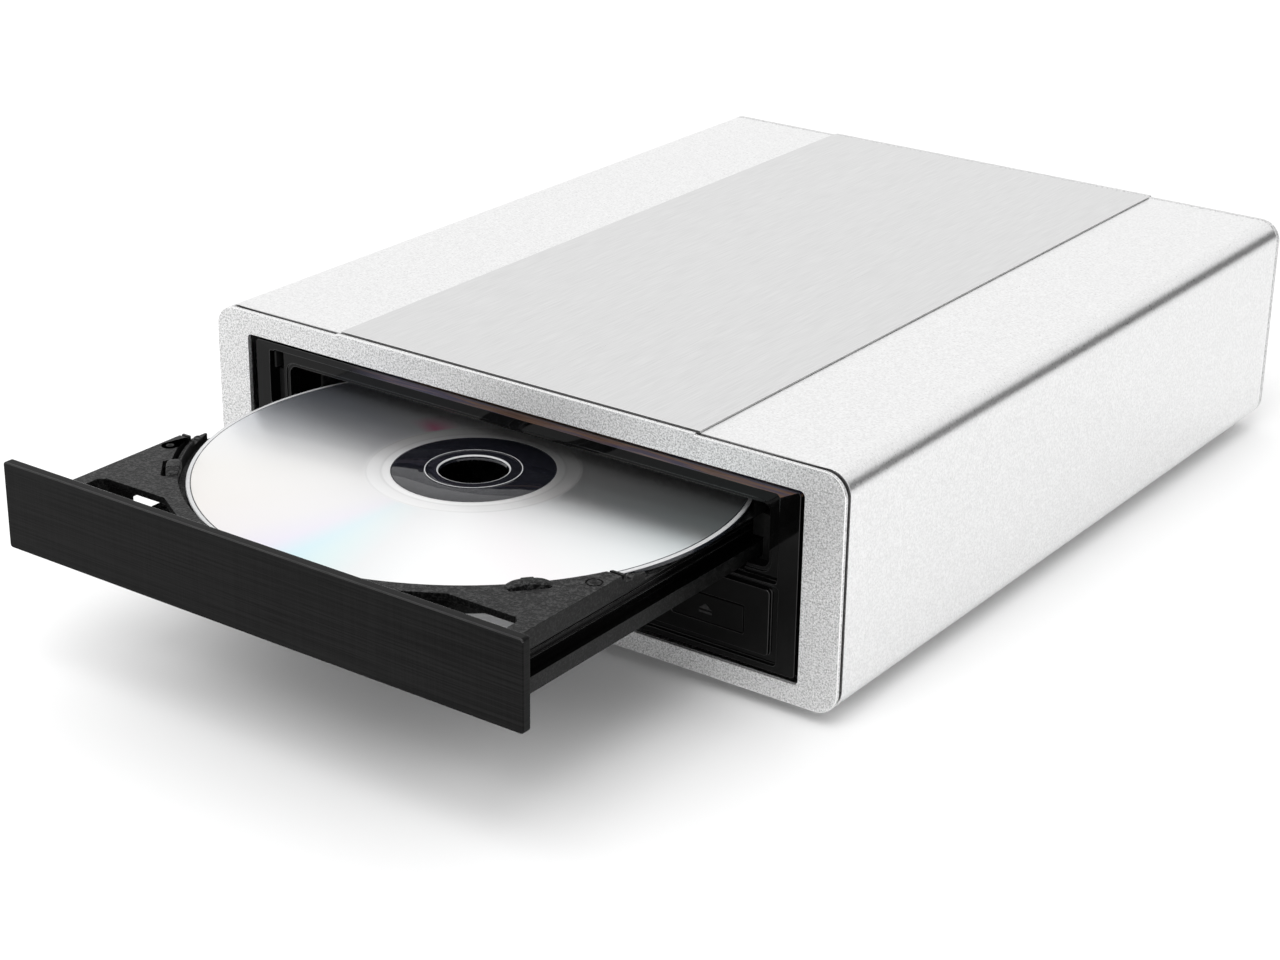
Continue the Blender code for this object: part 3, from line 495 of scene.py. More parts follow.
def m_lens():
    t = Tree("lens_glass")
    r = t.noise(200, 1.0, 0.5)
    return t.set(base=t.ramp(r, [(0.3, (0.50, 0.55, 0.85)), (0.7, (0.62, 0.52, 0.80))]), rough=0.03, trans=0.8, ior=1.6,
                 coat=1.0)


def m_mark():
    """Grey pad print of the generic symbols."""
    t = Tree("symbol_print")
    g = t.noise(1800, 2.0, 0.5)
    return t.set(base=t.ramp(g, [(0.3, 0.012), (0.7, 0.026)]), rough=0.45, spec=0.2)


def m_mark_white():
    t = Tree("switch_symbol_print")
    g = t.noise(1800, 2.0, 0.5)
    return t.set(base=t.ramp(g, [(0.3, 0.62), (0.7, 0.78)]), rough=0.5)


M = {
    "anodised_aluminium": m_anodised(), "brushed_aluminium": m_brushed(), "blasted_aluminium": m_blasted(),
    "bright_edge": m_polished_edge(), "gloss_black_plastic": m_gloss_black(), "matte_black_plastic": m_matte_black(),
    "gloss_lip": m_lip_painted_reflection(), "gloss_edge": m_gloss_edge(), "tray_plastic": m_tray(), "tray_side": m_tray_side_painted_shade(), "tray_groove": m_tray_groove_painted_shade(),
    "door_plastic": m_door(), "door_edge": m_edge_painted_highlight(), "zinc_steel": m_zinc(),
    "screw_steel": m_screw(), "black_screw": m_screw_black(), "black_rubber": m_rubber(), "black_acetal": m_acetal(),
    "circuit_board": m_pcb(), "motor_brass": m_brass(), "sled_metal": m_sled(), "clear_plastic": m_clear(),
    "hub": m_hub(), "rim": m_ring_painted_highlight(), "disc_mirror": m_disc(), "band": m_band(), "lens_glass": m_lens(),
    "mark": m_mark(), "mark_white": m_mark_white(),
}


# ============================================================================== shape helpers (mm)
def box(x0, x1, y0, y1, z0, z1):
    bm = bmesh.new()
    mid = Vector(((x0 + x1) / 2, (y0 + y1) / 2, (z0 + z1) / 2))
    bmesh.ops.create_cube(bm, size=1.0,
                          matrix=Matrix.Translation(mid) @ Matrix.Diagonal((x1 - x0, y1 - y0, z1 - z0, 1.0)))
    return bm


TURN = {"Z": Matrix.Identity(4),
        "X": Matrix(((0, 0, 1, 0), (1, 0, 0, 0), (0, 1, 0, 0), (0, 0, 0, 1))),
        "Y": Matrix(((1, 0, 0, 0), (0, 0, 1, 0), (0, -1, 0, 0), (0, 0, 0, 1)))}


def rod(a, b, r, lo, hi, axis="Z", r2=None, seg=48):
    bm = bmesh.new()
    bmesh.ops.create_cone(bm, cap_ends=True, segments=seg, radius1=r, radius2=r if r2 is None else r2,
                          depth=hi - lo, matrix=Matrix.Translation((0, 0, (lo + hi) / 2)))
    at = {"Z": (a, b, 0), "X": (0, a, b), "Y": (a, 0, b)}[axis]
    bmesh.ops.transform(bm, matrix=Matrix.Translation(at) @ TURN[axis], verts=bm.verts)
    return bm


def evaluated(ob):
    SCN.collection.objects.link(ob)
    dg = bpy.context.evaluated_depsgraph_get()
    me = bpy.data.meshes.new_from_object(ob.evaluated_get(dg))
    bm = bmesh.new()
    bm.from_mesh(me)
    bmesh.ops.remove_doubles(bm, verts=bm.verts, dist=1e-4)
    bmesh.ops.recalc_face_normals(bm, faces=bm.faces)
    bpy.data.meshes.remove(me)
    bpy.data.objects.remove(ob, do_unlink=True)
    return bm


def plate(outlines, lo, hi, axis="Z"):
    cu = bpy.data.curves.new("outline", "CURVE")
    cu.dimensions = "2D"
    cu.fill_mode = "BOTH"
    cu.extrude = (hi - lo) / 2
    for pts in outlines:
        sp = cu.splines.new("POLY")
        sp.points.add(len(pts) - 1)
        for p, (u, v) in zip(sp.points, pts):
            p.co = (u, v, 0.0, 1.0)
        sp.use_cyclic_u = True
    bm = evaluated(bpy.data.objects.new("outline", cu))
    if axis == "Z":
        m = Matrix.Translation((0, 0, (lo + hi) / 2))
    elif axis == "Y":
        m = Matrix.Translation((0, (lo + hi) / 2, 0)) @ Matrix(((1, 0, 0, 0), (0, 0, -1, 0), (0, 1, 0, 0), (0, 0, 0, 1)))
    else:
        m = Matrix.Translation(((lo + hi) / 2, 0, 0)) @ TURN["X"]
    bmesh.ops.transform(bm, matrix=m, verts=bm.verts)
    return bm


def slab(pts, lo, hi, axis="Z"):
    """One outline as an extruded prism with single n-gon ends, which bevels cleanly."""
    bm = bmesh.new()
    if axis == "Z":
        vs = [bm.verts.new((u, v, lo)) for u, v in pts]
        d = (0, 0, hi - lo)
    elif axis == "Y":
        vs = [bm.verts.new((u, lo, v)) for u, v in pts]
        d = (0, hi - lo, 0)
    else:
        vs = [bm.verts.new((lo, u, v)) for u, v in pts]
        d = (hi - lo, 0, 0)
    f = bm.faces.new(vs)
    g = bmesh.ops.extrude_face_region(bm, geom=[f])
    bmesh.ops.translate(bm, vec=d, verts=[e for e in g["geom"] if isinstance(e, bmesh.types.BMVert)])
    bmesh.ops.recalc_face_normals(bm, faces=bm.faces)
    return bm


def turned(profile, x, y, seg=96, closed=True, axis="Z", at=None):
    """(r, z) points turned about an upright axis. A profile that starts and ends at r = 0 needs no closing."""
    bm = bmesh.new()
    n = len(profile)
    rings = []
    for r, z in profile:
        if r <= 1e-6:
            rings.append([bm.verts.new((0, 0, z))])
        else:
            rings.append([bm.verts.new((r * math.cos(2 * math.pi * i / seg), r * math.sin(2 * math.pi * i / seg), z))
                          for i in range(seg)])
    pairs = [(i, i + 1) for i in range(n - 1)]
    if closed and not (profile[0][0] <= 1e-6 and profile[-1][0] <= 1e-6):
        pairs.append((n - 1, 0))
    for a, b in pairs:
        ra, rb = rings[a], rings[b]
        for i in range(seg):
            j = (i + 1) % seg
            if len(ra) == 1 and len(rb) == 1:
                continue
            if len(ra) == 1:
                bm.faces.new((ra[0], rb[i], rb[j]))
            elif len(rb) == 1:
                bm.faces.new((ra[i], ra[j], rb[0]))
            else:
                bm.faces.new((ra[i], ra[j], rb[j], rb[i]))
    bmesh.ops.recalc_face_normals(bm, faces=bm.faces)
    if axis == "Z":
        m = Matrix.Translation((x, y, 0))
    else:
        m = Matrix.Translation(at) @ TURN[axis]
    bmesh.ops.transform(bm, matrix=m, verts=bm.verts)
    return bm


def rect(x0, x1, y0, y1, r=0.0, n=8):
    if r <= 0:
        return [(x0, y0), (x1, y0), (x1, y1), (x0, y1)]
    pts = []
    for cx, cy, a0 in ((x1 - r, y0 + r, -90), (x1 - r, y1 - r, 0), (x0 + r, y1 - r, 90), (x0 + r, y0 + r, 180)):
        for i in range(n + 1):
            a = math.radians(a0 + 90 * i / n)
            pts.append((cx + r * math.cos(a), cy + r * math.sin(a)))
    return pts


def circle(cx, cy, r, n=48, a0=0.0, a1=360.0):
    full = abs(a1 - a0) >= 360
    return [(cx + r * math.cos(math.radians(a0 + (a1 - a0) * i / (n if full else n - 1))),
             cy + r * math.sin(math.radians(a0 + (a1 - a0) * i / (n if full else n - 1)))) for i in range(n)]


def both(*bms):
    out = bmesh.new()
    for bm in bms:
        me = bpy.data.meshes.new("tmp")
        bm.to_mesh(me)
        out.from_mesh(me)
        bpy.data.meshes.remove(me)
        bm.free()
    return out


def mirrored(bm):
    me = bpy.data.meshes.new("tmp")
    bm.to_mesh(me)
    other = bmesh.new()
    other.from_mesh(me)
    bpy.data.meshes.remove(me)
    bmesh.ops.transform(other, matrix=Matrix.Diagonal((-1, 1, 1, 1)), verts=other.verts)
    bmesh.ops.reverse_faces(other, faces=other.faces)
    return both(bm, other)


def temp(bm, name="tool"):
    me = bpy.data.meshes.new(name)
    bm.to_mesh(me)
    bm.free()
    ob = bpy.data.objects.new(name, me)
    SCN.collection.objects.link(ob)
    return ob


def bevel_mod(ob, width, seg=2, angle=35, mat=-1):
    md = ob.modifiers.new("bevel", "BEVEL")
    md.limit_method = "ANGLE"
    md.angle_limit = math.radians(angle)
    md.width = width
    md.segments = seg
    md.use_clamp_overlap = False
    md.material = mat
    return md


def carve(bm, steps):
    """Runs ("add"|"cut", body) and ("bevel", width, segments, angle[, material]) in order and gives one bmesh."""
    ob = temp(bm, "carve")
    for m in (0, 1, 2, 3):
        ob.data.materials.append(None)
    tools = []
    for st in steps:
        if st[0] in ("add", "cut"):
            t = temp(st[1])
            for m in (0, 1, 2, 3):
                t.data.materials.append(None)
            tools.append(t)
            md = ob.modifiers.new(st[0], "BOOLEAN")
            md.operation = "UNION" if st[0] == "add" else "DIFFERENCE"
            md.solver = "EXACT"
            md.object = t
        else:
            bevel_mod(ob, st[1], st[2], st[3], st[4] if len(st) > 4 else -1)
    bpy.context.view_layer.update()
    dg = bpy.context.evaluated_depsgraph_get()
    me = bpy.data.meshes.new_from_object(ob.evaluated_get(dg))
    out = bmesh.new()
    out.from_mesh(me)
    bpy.data.meshes.remove(me)
    for o in [ob] + tools:
        d = o.data
        bpy.data.objects.remove(o, do_unlink=True)
        bpy.data.meshes.remove(d)
    return out


def piece(name, bm, mats, body, replaces=(), smooth=35, origin=None, weighted=True):
    """Finishes a body in mm as an object in metres that rides on a CAD body."""
    bmesh.ops.remove_doubles(bm, verts=bm.verts, dist=2e-4)
    bmesh.ops.dissolve_degenerate(bm, edges=bm.edges, dist=2e-4)
    me = bpy.data.meshes.new(name)
    bm.to_mesh(me)
    bm.free()
    o = PLACE @ Vector(origin) if origin else Vector((0, 0, 0))
    me.transform(Matrix.Translation(-o) @ PLACE)
    mats = [mats] if isinstance(mats, str) else list(mats)
    for m in mats:
        me.materials.append(M[m])
    for p in me.polygons:
        if p.material_index >= len(mats):
            p.material_index = 0
    ob = bpy.data.objects.new(name, me)
    ob.location = o
    SCN.collection.objects.link(ob)
    me.shade_smooth()
    me.set_sharp_from_angle(angle=math.radians(smooth))
    if weighted:
        md = ob.modifiers.new("weighted_normal", "WEIGHTED_NORMAL")
        md.keep_sharp = True
        md.weight = 60
    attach(ob, body)
    if replaces:
        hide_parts(*replaces)
    return ob


# ============================================================================== driving numbers, as the CAD has them
ENC_W, ENC_H, ENC_R, WALL = 169.0, 53.0, 5.25, 1.8
HW = ENC_W / 2
INLAY_W, INLAY_UP = 96.6, 0.4
WIN_X, WIN_Z0, WIN_Z1 = 75.1, 4.6, 47.6
SLEEVE_Y0, SLEEVE_Y1, PANEL_Y0, PANEL_Y1, REAR_MAX = 2.1, 208.2, 208.5, 210.0, 211.2
DISC_Y, SPINDLE_Y = -11.2, 69.1
CHAN = [(-79.2, 5.3), (79.2, 5.3), (79.2, 47.7), (-79.2, 47.7)]
BASE_SCREWS = [(-60.0, 40.0), (60.0, 40.0), (60.0, 140.0), (-60.0, 140.0)]


def shell_outline(inset, lip, lip_w, n=18, soft=0.0):
    x, z0, z1, r = HW - inset, inset, ENC_H - inset, ENC_R - inset
    pts = rect(-x, x, z0, z1, r, n)
    e = 2 * (n + 1) - 1
    if soft > 0:
        s = soft
        step = [(lip_w, z1), (lip_w, z1 + lip - s), (lip_w - s * 0.3, z1 + lip - s * 0.3), (lip_w - s, z1 + lip),
                (-lip_w + s, z1 + lip), (-lip_w + s * 0.3, z1 + lip - s * 0.3), (-lip_w, z1 + lip - s), (-lip_w, z1)]
    else:
        step = [(lip_w, z1), (lip_w, z1 + lip), (-lip_w, z1 + lip), (-lip_w, z1)]
    return pts[:e + 1] + step + pts[e + 1:]


# ------------------------------------------------------------------------------ enclosure
def make_enclosure():
    ix, iz0, iz1, bl = HW - WALL, WALL, ENC_H - WALL, 7.0
    inner = [(-ix + bl, iz0), (ix - bl, iz0), (ix - bl, iz0 + bl), (ix, iz0 + bl), (ix, iz1 - bl), (ix - bl, iz1 - bl),
             (ix - bl, iz1), (-ix + bl, iz1), (-ix + bl, iz1 - bl), (-ix, iz1 - bl), (-ix, iz0 + bl), (-ix + bl, iz0 + bl)]
    bm = plate([shell_outline(0.0, -0.9, INLAY_W / 2 + 0.15), inner], SLEEVE_Y0, SLEEVE_Y1 + 0.15, "Y")
    bm = carve(bm, [("bevel", 0.18, 2, 50),
                    ("cut", both(*[rod(x, z, 1.3, 0.0, 215.0, "Y", seg=32) for x, z in CHAN])),
                    ("cut", both(*[rod(x, y, 1.5, -1.0, 3.0, seg=32) for x, y in BASE_SCREWS]))])
    piece("sleeve_skin", bm, "anodised_aluminium", "enclosure", ["outer_sleeve"], 35)

    bm = carve(box(-INLAY_W / 2 - 0.08, INLAY_W / 2 + 0.08, SLEEVE_Y0, SLEEVE_Y1 + 0.15, ENC_H - 0.6, ENC_H + INLAY_UP), [("bevel", 0.08, 2, 35, 1)])
    piece("inlay_plate", bm, ["brushed_aluminium", "bright_edge"], "enclosure", ["top_inlay"])

    bm = carve(slab(shell_outline(0.0, INLAY_UP, INLAY_W / 2, soft=0.25), 0.0, 1.0, "Y"),
               [("bevel", 0.20, 2, 50, 1),
                ("cut", slab(rect(-WIN_X, WIN_X, WIN_Z0, WIN_Z1, 1.2, 8), -1.0, 2.0, "Y")),
                ("add", both(*[rod(x, z, 1.0, 0.7, 9.0, "Y", seg=24) for x, z in CHAN]))])
    piece("front_face", bm, ["blasted_aluminium", "bright_edge"], "enclosure", ["front_frame"])

    # thin black gasket line standing round the window, just behind the frame's face
    bm = plate([rect(-HW + 0.45, HW - 0.45, 0.45, ENC_H - 0.45, ENC_R - 0.45, 16), rect(-75.5, 75.5, 4.2, 48.0, 1.4, 8)],
               1.25, 1.85, "Y")
    bm = carve(bm, [("cut", both(*[rod(x, z, 1.25, 0.0, 4.0, "Y", seg=24) for x, z in CHAN]))])
    piece("front_gasket", bm, "matte_black_plastic", "enclosure", ["front_liner"])

    # rear panel
    usb, pwr, sx, sz = (36.0, 48.0, 9.7, 20.5), (56.0, 68.0, 9.7, 20.7), -55.0, 27.0
    vents = [rect(-30 + 8 * i, -26 + 8 * i, 20.0, 40.0, 1.9, 8) for i in range(7)]
    bm = carve(slab(shell_outline(0.0, INLAY_UP, INLAY_W / 2, soft=0.25), PANEL_Y0, PANEL_Y1, "Y"), [
        ("cut", both(box(usb[0] - 0.4, usb[1] + 0.4, 207.0, 212.0, usb[2] - 0.4, usb[3] + 0.4),
                     box(pwr[0] - 0.4, pwr[1] + 0.4, 207.0, 212.0, pwr[2] - 0.4, pwr[3] + 0.4),
                     box(sx - 6.8, sx + 6.8, 207.0, 212.0, sz - 9.8, sz + 9.8))),
        ("cut", both(*[rod(x, z, 1.3, 207.0, 212.0, "Y", seg=24) for x, z in CHAN])),
        ("cut", both(*[slab(v, 207.0, 212.0, "Y") for v in vents])),
        ("bevel", 0.22, 2, 50),
        ("add", box(22.0, 74.0, 180.0, PANEL_Y0 + 0.7, 6.3, 7.5))])
    piece("rear_cover", bm, "blasted_aluminium", "enclosure", ["rear_panel"])

    # rear screws with a cross recess
    heads = []
    for x, z in CHAN:
        h = turned([(0.0, 1.20), (1.2, 1.15), (2.1, 0.90), (2.55, 0.45), (2.6, 0.3), (2.6, 0.3), (1.0, 0.30), (1.0, -11.5), (0.0, -12.0)],
                   0, 0, seg=40, axis="Y", at=(x, PANEL_Y1, z))
        h = carve(h, [("cut", both(box(x - 1.35, x + 1.35, 210.6, 212.0, z - 0.28, z + 0.28))),
                      ("cut", both(box(x - 0.28, x + 0.28, 210.6, 212.0, z - 1.35, z + 1.35)))])
        heads.append(h)
    piece("rear_screw_set", both(*heads), "black_screw", "enclosure", [f"rear_screw_{i}" for i in (1, 2, 3, 4)])

    heads = []
    for x, y in BASE_SCREWS:
        h = turned([(0.0, 4.4), (1.0, 4.2), (1.0, -0.3), (2.6, -0.3), (2.6, -0.45), (2.3, -0.9), (1.4, -1.15), (0.0, -1.2)], x, y, seg=40)
        h = carve(h, [("cut", box(x - 1.35, x + 1.35, y - 0.28, y + 0.28, -2.0, -0.6)),
                      ("cut", box(x - 0.28, x + 0.28, y - 1.35, y + 1.35, -2.0, -0.6))])
        heads.append(h)
    piece("base_screw_set", both(*heads), "screw_steel", "enclosure", [f"base_screw_{i}" for i in (1, 2, 3, 4)])

    feet = [turned([(0.0, -0.3), (5.5, -0.3), (5.6, -0.5), (5.1, -2.5), (4.6, -3.0), (3.2, -3.0), (3.0, -2.6), (0.0, -2.6)], x, y, seg=56)
            for x, y in [(-62.0, 20.0), (62.0, 20.0), (62.0, 190.0), (-62.0, 190.0)]]
    piece("foot_set", both(*feet), "black_rubber", "enclosure", [f"rubber_foot_{i}" for i in (1, 2, 3, 4)])

    # sockets and switch
    ux, uz = (usb[0] + usb[1]) / 2, (usb[2] + usb[3]) / 2
    bm = carve(box(usb[0], usb[1], 192.0, 209.6, usb[2], usb[3]), [
        ("bevel", 0.35, 3, 50),
        ("cut", slab([(ux - 4.3, uz - 4.0), (ux + 4.3, uz - 4.0), (ux + 4.3, uz + 2.2), (ux + 2.4, uz + 4.0),
                      (ux - 2.4, uz + 4.0), (ux - 4.3, uz + 2.2)], 200.0, 211.0, "Y")),
        ("cut", both(box(ux - 2.2, ux - 0.6, 203.0, 207.0, usb[3] - 0.5, usb[3] + 0.5), box(ux + 0.6, ux + 2.2, 203.0, 207.0, usb[3] - 0.5, usb[3] + 0.5)))])
    piece("usb_shell", bm, "zinc_steel", "enclosure", ["usb_socket"])
    bm = carve(box(ux - 2.8, ux + 2.8, 199.6, 208.4, uz - 1.7, uz + 1.3), [("bevel", 0.2, 2, 50)])
    piece("usb_tongue", bm, "mark_white", "enclosure", ())
    pins = [carve(box(ux + dx - 0.5, ux + dx + 0.5, 200.5, 207.6, z - 0.09, z + 0.09), [("bevel", 0.05, 1, 50)])
            for dx in (-1.25, 1.25) for z in (uz - 1.75, uz + 1.35)]
    piece("usb_contacts", both(*pins), "motor_brass", "enclosure", ())
    px, pz = (pwr[0] + pwr[1]) / 2, (pwr[2] + pwr[3]) / 2
    bm = carve(box(pwr[0], pwr[1], 195.0, 209.6, pwr[2], pwr[3]), [
        ("cut", rod(px, pz, 3.3, 199.0, 211.0, "Y", seg=48)),
        ("bevel", 0.25, 3, 50)])
    piece("power_jack", bm, "matte_black_plastic", "enclosure", ["power_inlet"])
    bm = turned([(0.0, -1.8), (0.7, -1.9), (1.05, -2.3), (1.05, -10.7), (0.0, -10.7)], 0, 0, seg=32, axis="Y", at=(px, 210.0, pz))
    piece("power_pin", bm, "screw_steel", "enclosure", ())

    bm = carve(box(sx - 6.5, sx + 6.5, 198.0, 210.8, sz - 9.5, sz + 9.5), [
        ("add", slab(rect(sx - 8.0, sx + 8.0, sz - 11.0, sz + 11.0, 0.9, 6), 210.3, REAR_MAX, "Y")),
        ("cut", box(sx - 5.2, sx + 5.2, 200.0, 213.0, sz - 8.3, sz + 8.3)),
        ("cut", rod(206.0, sz, 1.3, sx - 6.0, sx + 6.0, "X", seg=32)),
        ("bevel", 0.2, 2, 40)])
    piece("switch_frame", bm, "matte_black_plastic", "enclosure", ["switch_housing"])
    rock = math.radians(-6.0)

    def rp(y, z):
        return (206.0 + y * math.cos(rock) - z * math.sin(rock), sz + y * math.sin(rock) + z * math.cos(rock))
    prof = [(-2.5, -4.5), (1.0, -7.3), (3.1, -7.2), (3.45, -6.6), (2.9, -4.2), (2.45, -2.0), (2.3, 0.0), (2.45, 2.0), (2.9, 4.2),
            (3.45, 6.6), (3.1, 7.2), (1.0, 7.3), (-2.5, 4.5)]
    bm = carve(slab([rp(y, z) for y, z in prof], sx - 4.8, sx + 4.8, "X"), [
        ("bevel", 0.25, 3, 50), ("add", rod(206.0, sz, 1.0, sx - 5.7, sx + 5.7, "X", seg=32))])
    piece("rocker_key", bm, "gloss_black_plastic", "rocker", ["rocker"], 30)
    # plain bar on the rocker
    a, b = rp(3.02, 3.2), rp(3.42, 5.6)
    n = Vector((0, b[1] - a[1], -(b[0] - a[0]))).normalized() * 0.06
    bm = bmesh.new()
    vs = [bm.verts.new((sx + s, y + n.y, z + n.z)) for s, (y, z) in ((-0.25, a), (0.25, a), (0.25, b), (-0.25, b))]
    f = bm.faces.new(vs)
    g = bmesh.ops.extrude_face_region(bm, geom=[f])
    bmesh.ops.translate(bm, vec=-n * 1.6, verts=[e for e in g["geom"] if isinstance(e, bmesh.types.BMVert)])
    bmesh.ops.recalc_face_normals(bm, faces=bm.faces)
    piece("rocker_mark", bm, "mark_white", "rocker", (), weighted=False)


# ------------------------------------------------------------------------------ bezel of the drive
def make_bezel():
    bm = carve(slab(rect(-73.6, 73.6, 5.2, 46.6, 0.9, 8), 1.0, 6.3, "Y"), [
        ("cut", slab(rect(-68.6, 68.6, 25.0, 44.9, 1.0, 8), 0.0, 2.7, "Y")),
        ("cut", slab(rect(-65.2, 65.2, 27.1, 41.2, 1.9, 10), 0.4, 7.0, "Y")),
        ("cut", slab(rect(-66.0, 66.0, 26.3, 42.0, 2.3, 10), 0.4, 3.05, "Y")),
        ("cut", box(-59.6, 59.6, 0.4, 7.0, 25.4, 30.0)),
        ("cut", plate([rect(-69.0, 69.0, 6.7, 24.5, 0.9, 6), rect(-67.0, 67.0, 8.4, 23.3, 0.9, 6)], 0.5, 1.9, "Y")),
        ("cut", slab(rect(-69.5, -66.9, 31.9, 44.6, 0.5, 4), 0.6, 5.2, "Y")),
        ("cut", slab(rect(43.0, 61.0, 11.8, 18.2, 0.4, 4), 0.5, 7.0, "Y")),
        ("cut", slab(rect(29.7, 34.3, 13.9, 16.1, 0.3, 4), 0.5, 7.0, "Y")),
        ("cut", rod(12.0, 15.0, 0.7, 0.5, 7.0, "Y", seg=32)),
        ("bevel", 0.15, 3, 40, 2)])
    # faces of the upper lip take the material with the painted reflection of the disc
    for f in bm.faces:
        c = f.calc_center_median()
        if c.z > 41.6 and c.y < 4.0 and f.material_index != 2:
            f.material_index = 1
    piece("bezel_front", bm, ["gloss_black_plastic", "gloss_lip", "gloss_edge"], "enclosure", ["drive_bezel"], 40)
    # small catch bar in the slot at the bezel's left
    bm = carve(box(-69.0, -68.4, 2.0, 5.1, 40.3, 44.2), [("bevel", 0.12, 2, 40)])
    piece("bezel_catch", bm, "matte_black_plastic", "enclosure", ())
    bm = carve(both(box(-69.4, -67.0, 3.9, 5.1, 32.0, 39.5)), [("bevel", 0.15, 2, 40)])
    piece("bezel_catch_pad", bm, "matte_black_plastic", "enclosure", ())

    bm = carve(box(43.2, 60.8, 0.95, 7.2, 12.0, 18.0), [("bevel", 0.16, 3, 50),
                                                          ("add", box(42.0, 62.0, 6.6, 7.6, 11.0, 19.0))])
    piece("eject_key", bm, "gloss_black_plastic", "eject_button", ["eject_button"], 40)
    # generic eject symbol: a triangle over a bar
    tri = slab([(49.9, 14.75), (53.1, 14.75), (51.5, 16.0)], 0.88, 1.02, "Y")
    bar = slab([(49.9, 13.8), (53.1, 13.8), (53.1, 14.25), (49.9, 14.25)], 0.88, 1.02, "Y")
    piece("eject_symbol", both(tri, bar), "mark", "eject_button", (), weighted=False)
    bm = carve(box(30.0, 34.0, 1.2, 9.0, 14.2, 15.8), [("bevel", 0.22, 3, 50)])
    piece("light_window", bm, "clear_plastic", "enclosure", ["activity_light_pipe"])


# ------------------------------------------------------------------------------ tray
TRAY_X, TRAY_Y0, TRAY_Y1, TRAY_Z0, TRAY_Z1 = 58.8, -77.6, 78.0, 25.7, 39.1
RECESS_R, RECESS_Z = 61.5, 35.6
CLIP = (47.5, -53.05)
CLIP_A = math.atan2(CLIP[1] - DISC_Y, CLIP[0])


def clip_point(t, u, side=1):
    """t mm along the recess's edge and u mm outwards from the retention clip's middle."""
    c, s = math.cos(CLIP_A), math.sin(CLIP_A)
    return (side * (CLIP[0] + u * c - t * s), CLIP[1] + u * s + t * c)


def arch(side):
    """Low moulded arch over the disc's edge: a long hump with a small step on its crown and sloping ends."""
    bm = bmesh.new()
    prof_t = [-5.1, -4.5, -3.8, -3.0, -2.0, -1.3, -1.2, 0.0, 1.2, 1.3, 2.0, 3.0, 3.8, 4.5, 5.1]
    rows = []
    for t in prof_t:
        s = max(0.0, 1 - (abs(t) / 5.1) ** 2.2)
        top = 38.95 + 0.95 * min(1.0, s * 1.25) + (0.22 if abs(t) <= 1.2 else 0.0)
        under = 38.3 + 0.35 * s
        inn = -1.5 - 1.0 * s
        out = 0.35 + 0.25 * s
        sec = [(inn, under), (inn - 0.1, (under + top) / 2), (inn + 0.15, top - 0.15), (inn + 0.6, top),
               (out - 0.5, top - 0.05), (out, top - 0.35), (out, 38.6), (out - 0.4, under)]
        rows.append([bm.verts.new((*clip_point(t, u, side), z)) for u, z in sec])
    for a, b in zip(rows, rows[1:]):
        n = len(a)
        for i in range(n):
            j = (i + 1) % n
            bm.faces.new((a[i], a[j], b[j], b[i]))
    bm.faces.new(rows[0])
    bm.faces.new(list(reversed(rows[-1])))
    bmesh.ops.recalc_face_normals(bm, faces=bm.faces)
    return bm


def ring_sector(r0, r1, a0, a1, lo, hi, n=24):
    """Part of a ring round the disc's centre; angles in degrees, anticlockwise from +x."""
    pts = circle(0.0, DISC_Y, r1, n, a0, a1) + list(reversed(circle(0.0, DISC_Y, r0, n, a0, a1)))
    return slab(pts, lo, hi)


def gear_pitch_rack():
    p, add, ded, slack, y0, y1, ty = math.pi, 0.8, 1.1, 0.25, -62.0, TRAY_Y1, 22.0
    tn = math.tan(math.radians(20))
    hp = p / 4 - slack / 2
    tip, root = hp - add * tn, hp + ded * tn
    xt, xr = -40.0 + add, -40.0 - ded
    pts = [(-44.0, y1), (-44.0, y0), (xr, y0)]
    k = math.ceil((y0 + root + 0.2 - ty) / p)
    while ty + k * p + root < y1 - 0.2:
        c = ty + k * p
        pts += [(xr, c - root), (xt, c - tip), (xt, c + tip), (xr, c + root)]
        k += 1
    pts.append((xr, y1))
    return slab(pts, 27.3, 34.5)


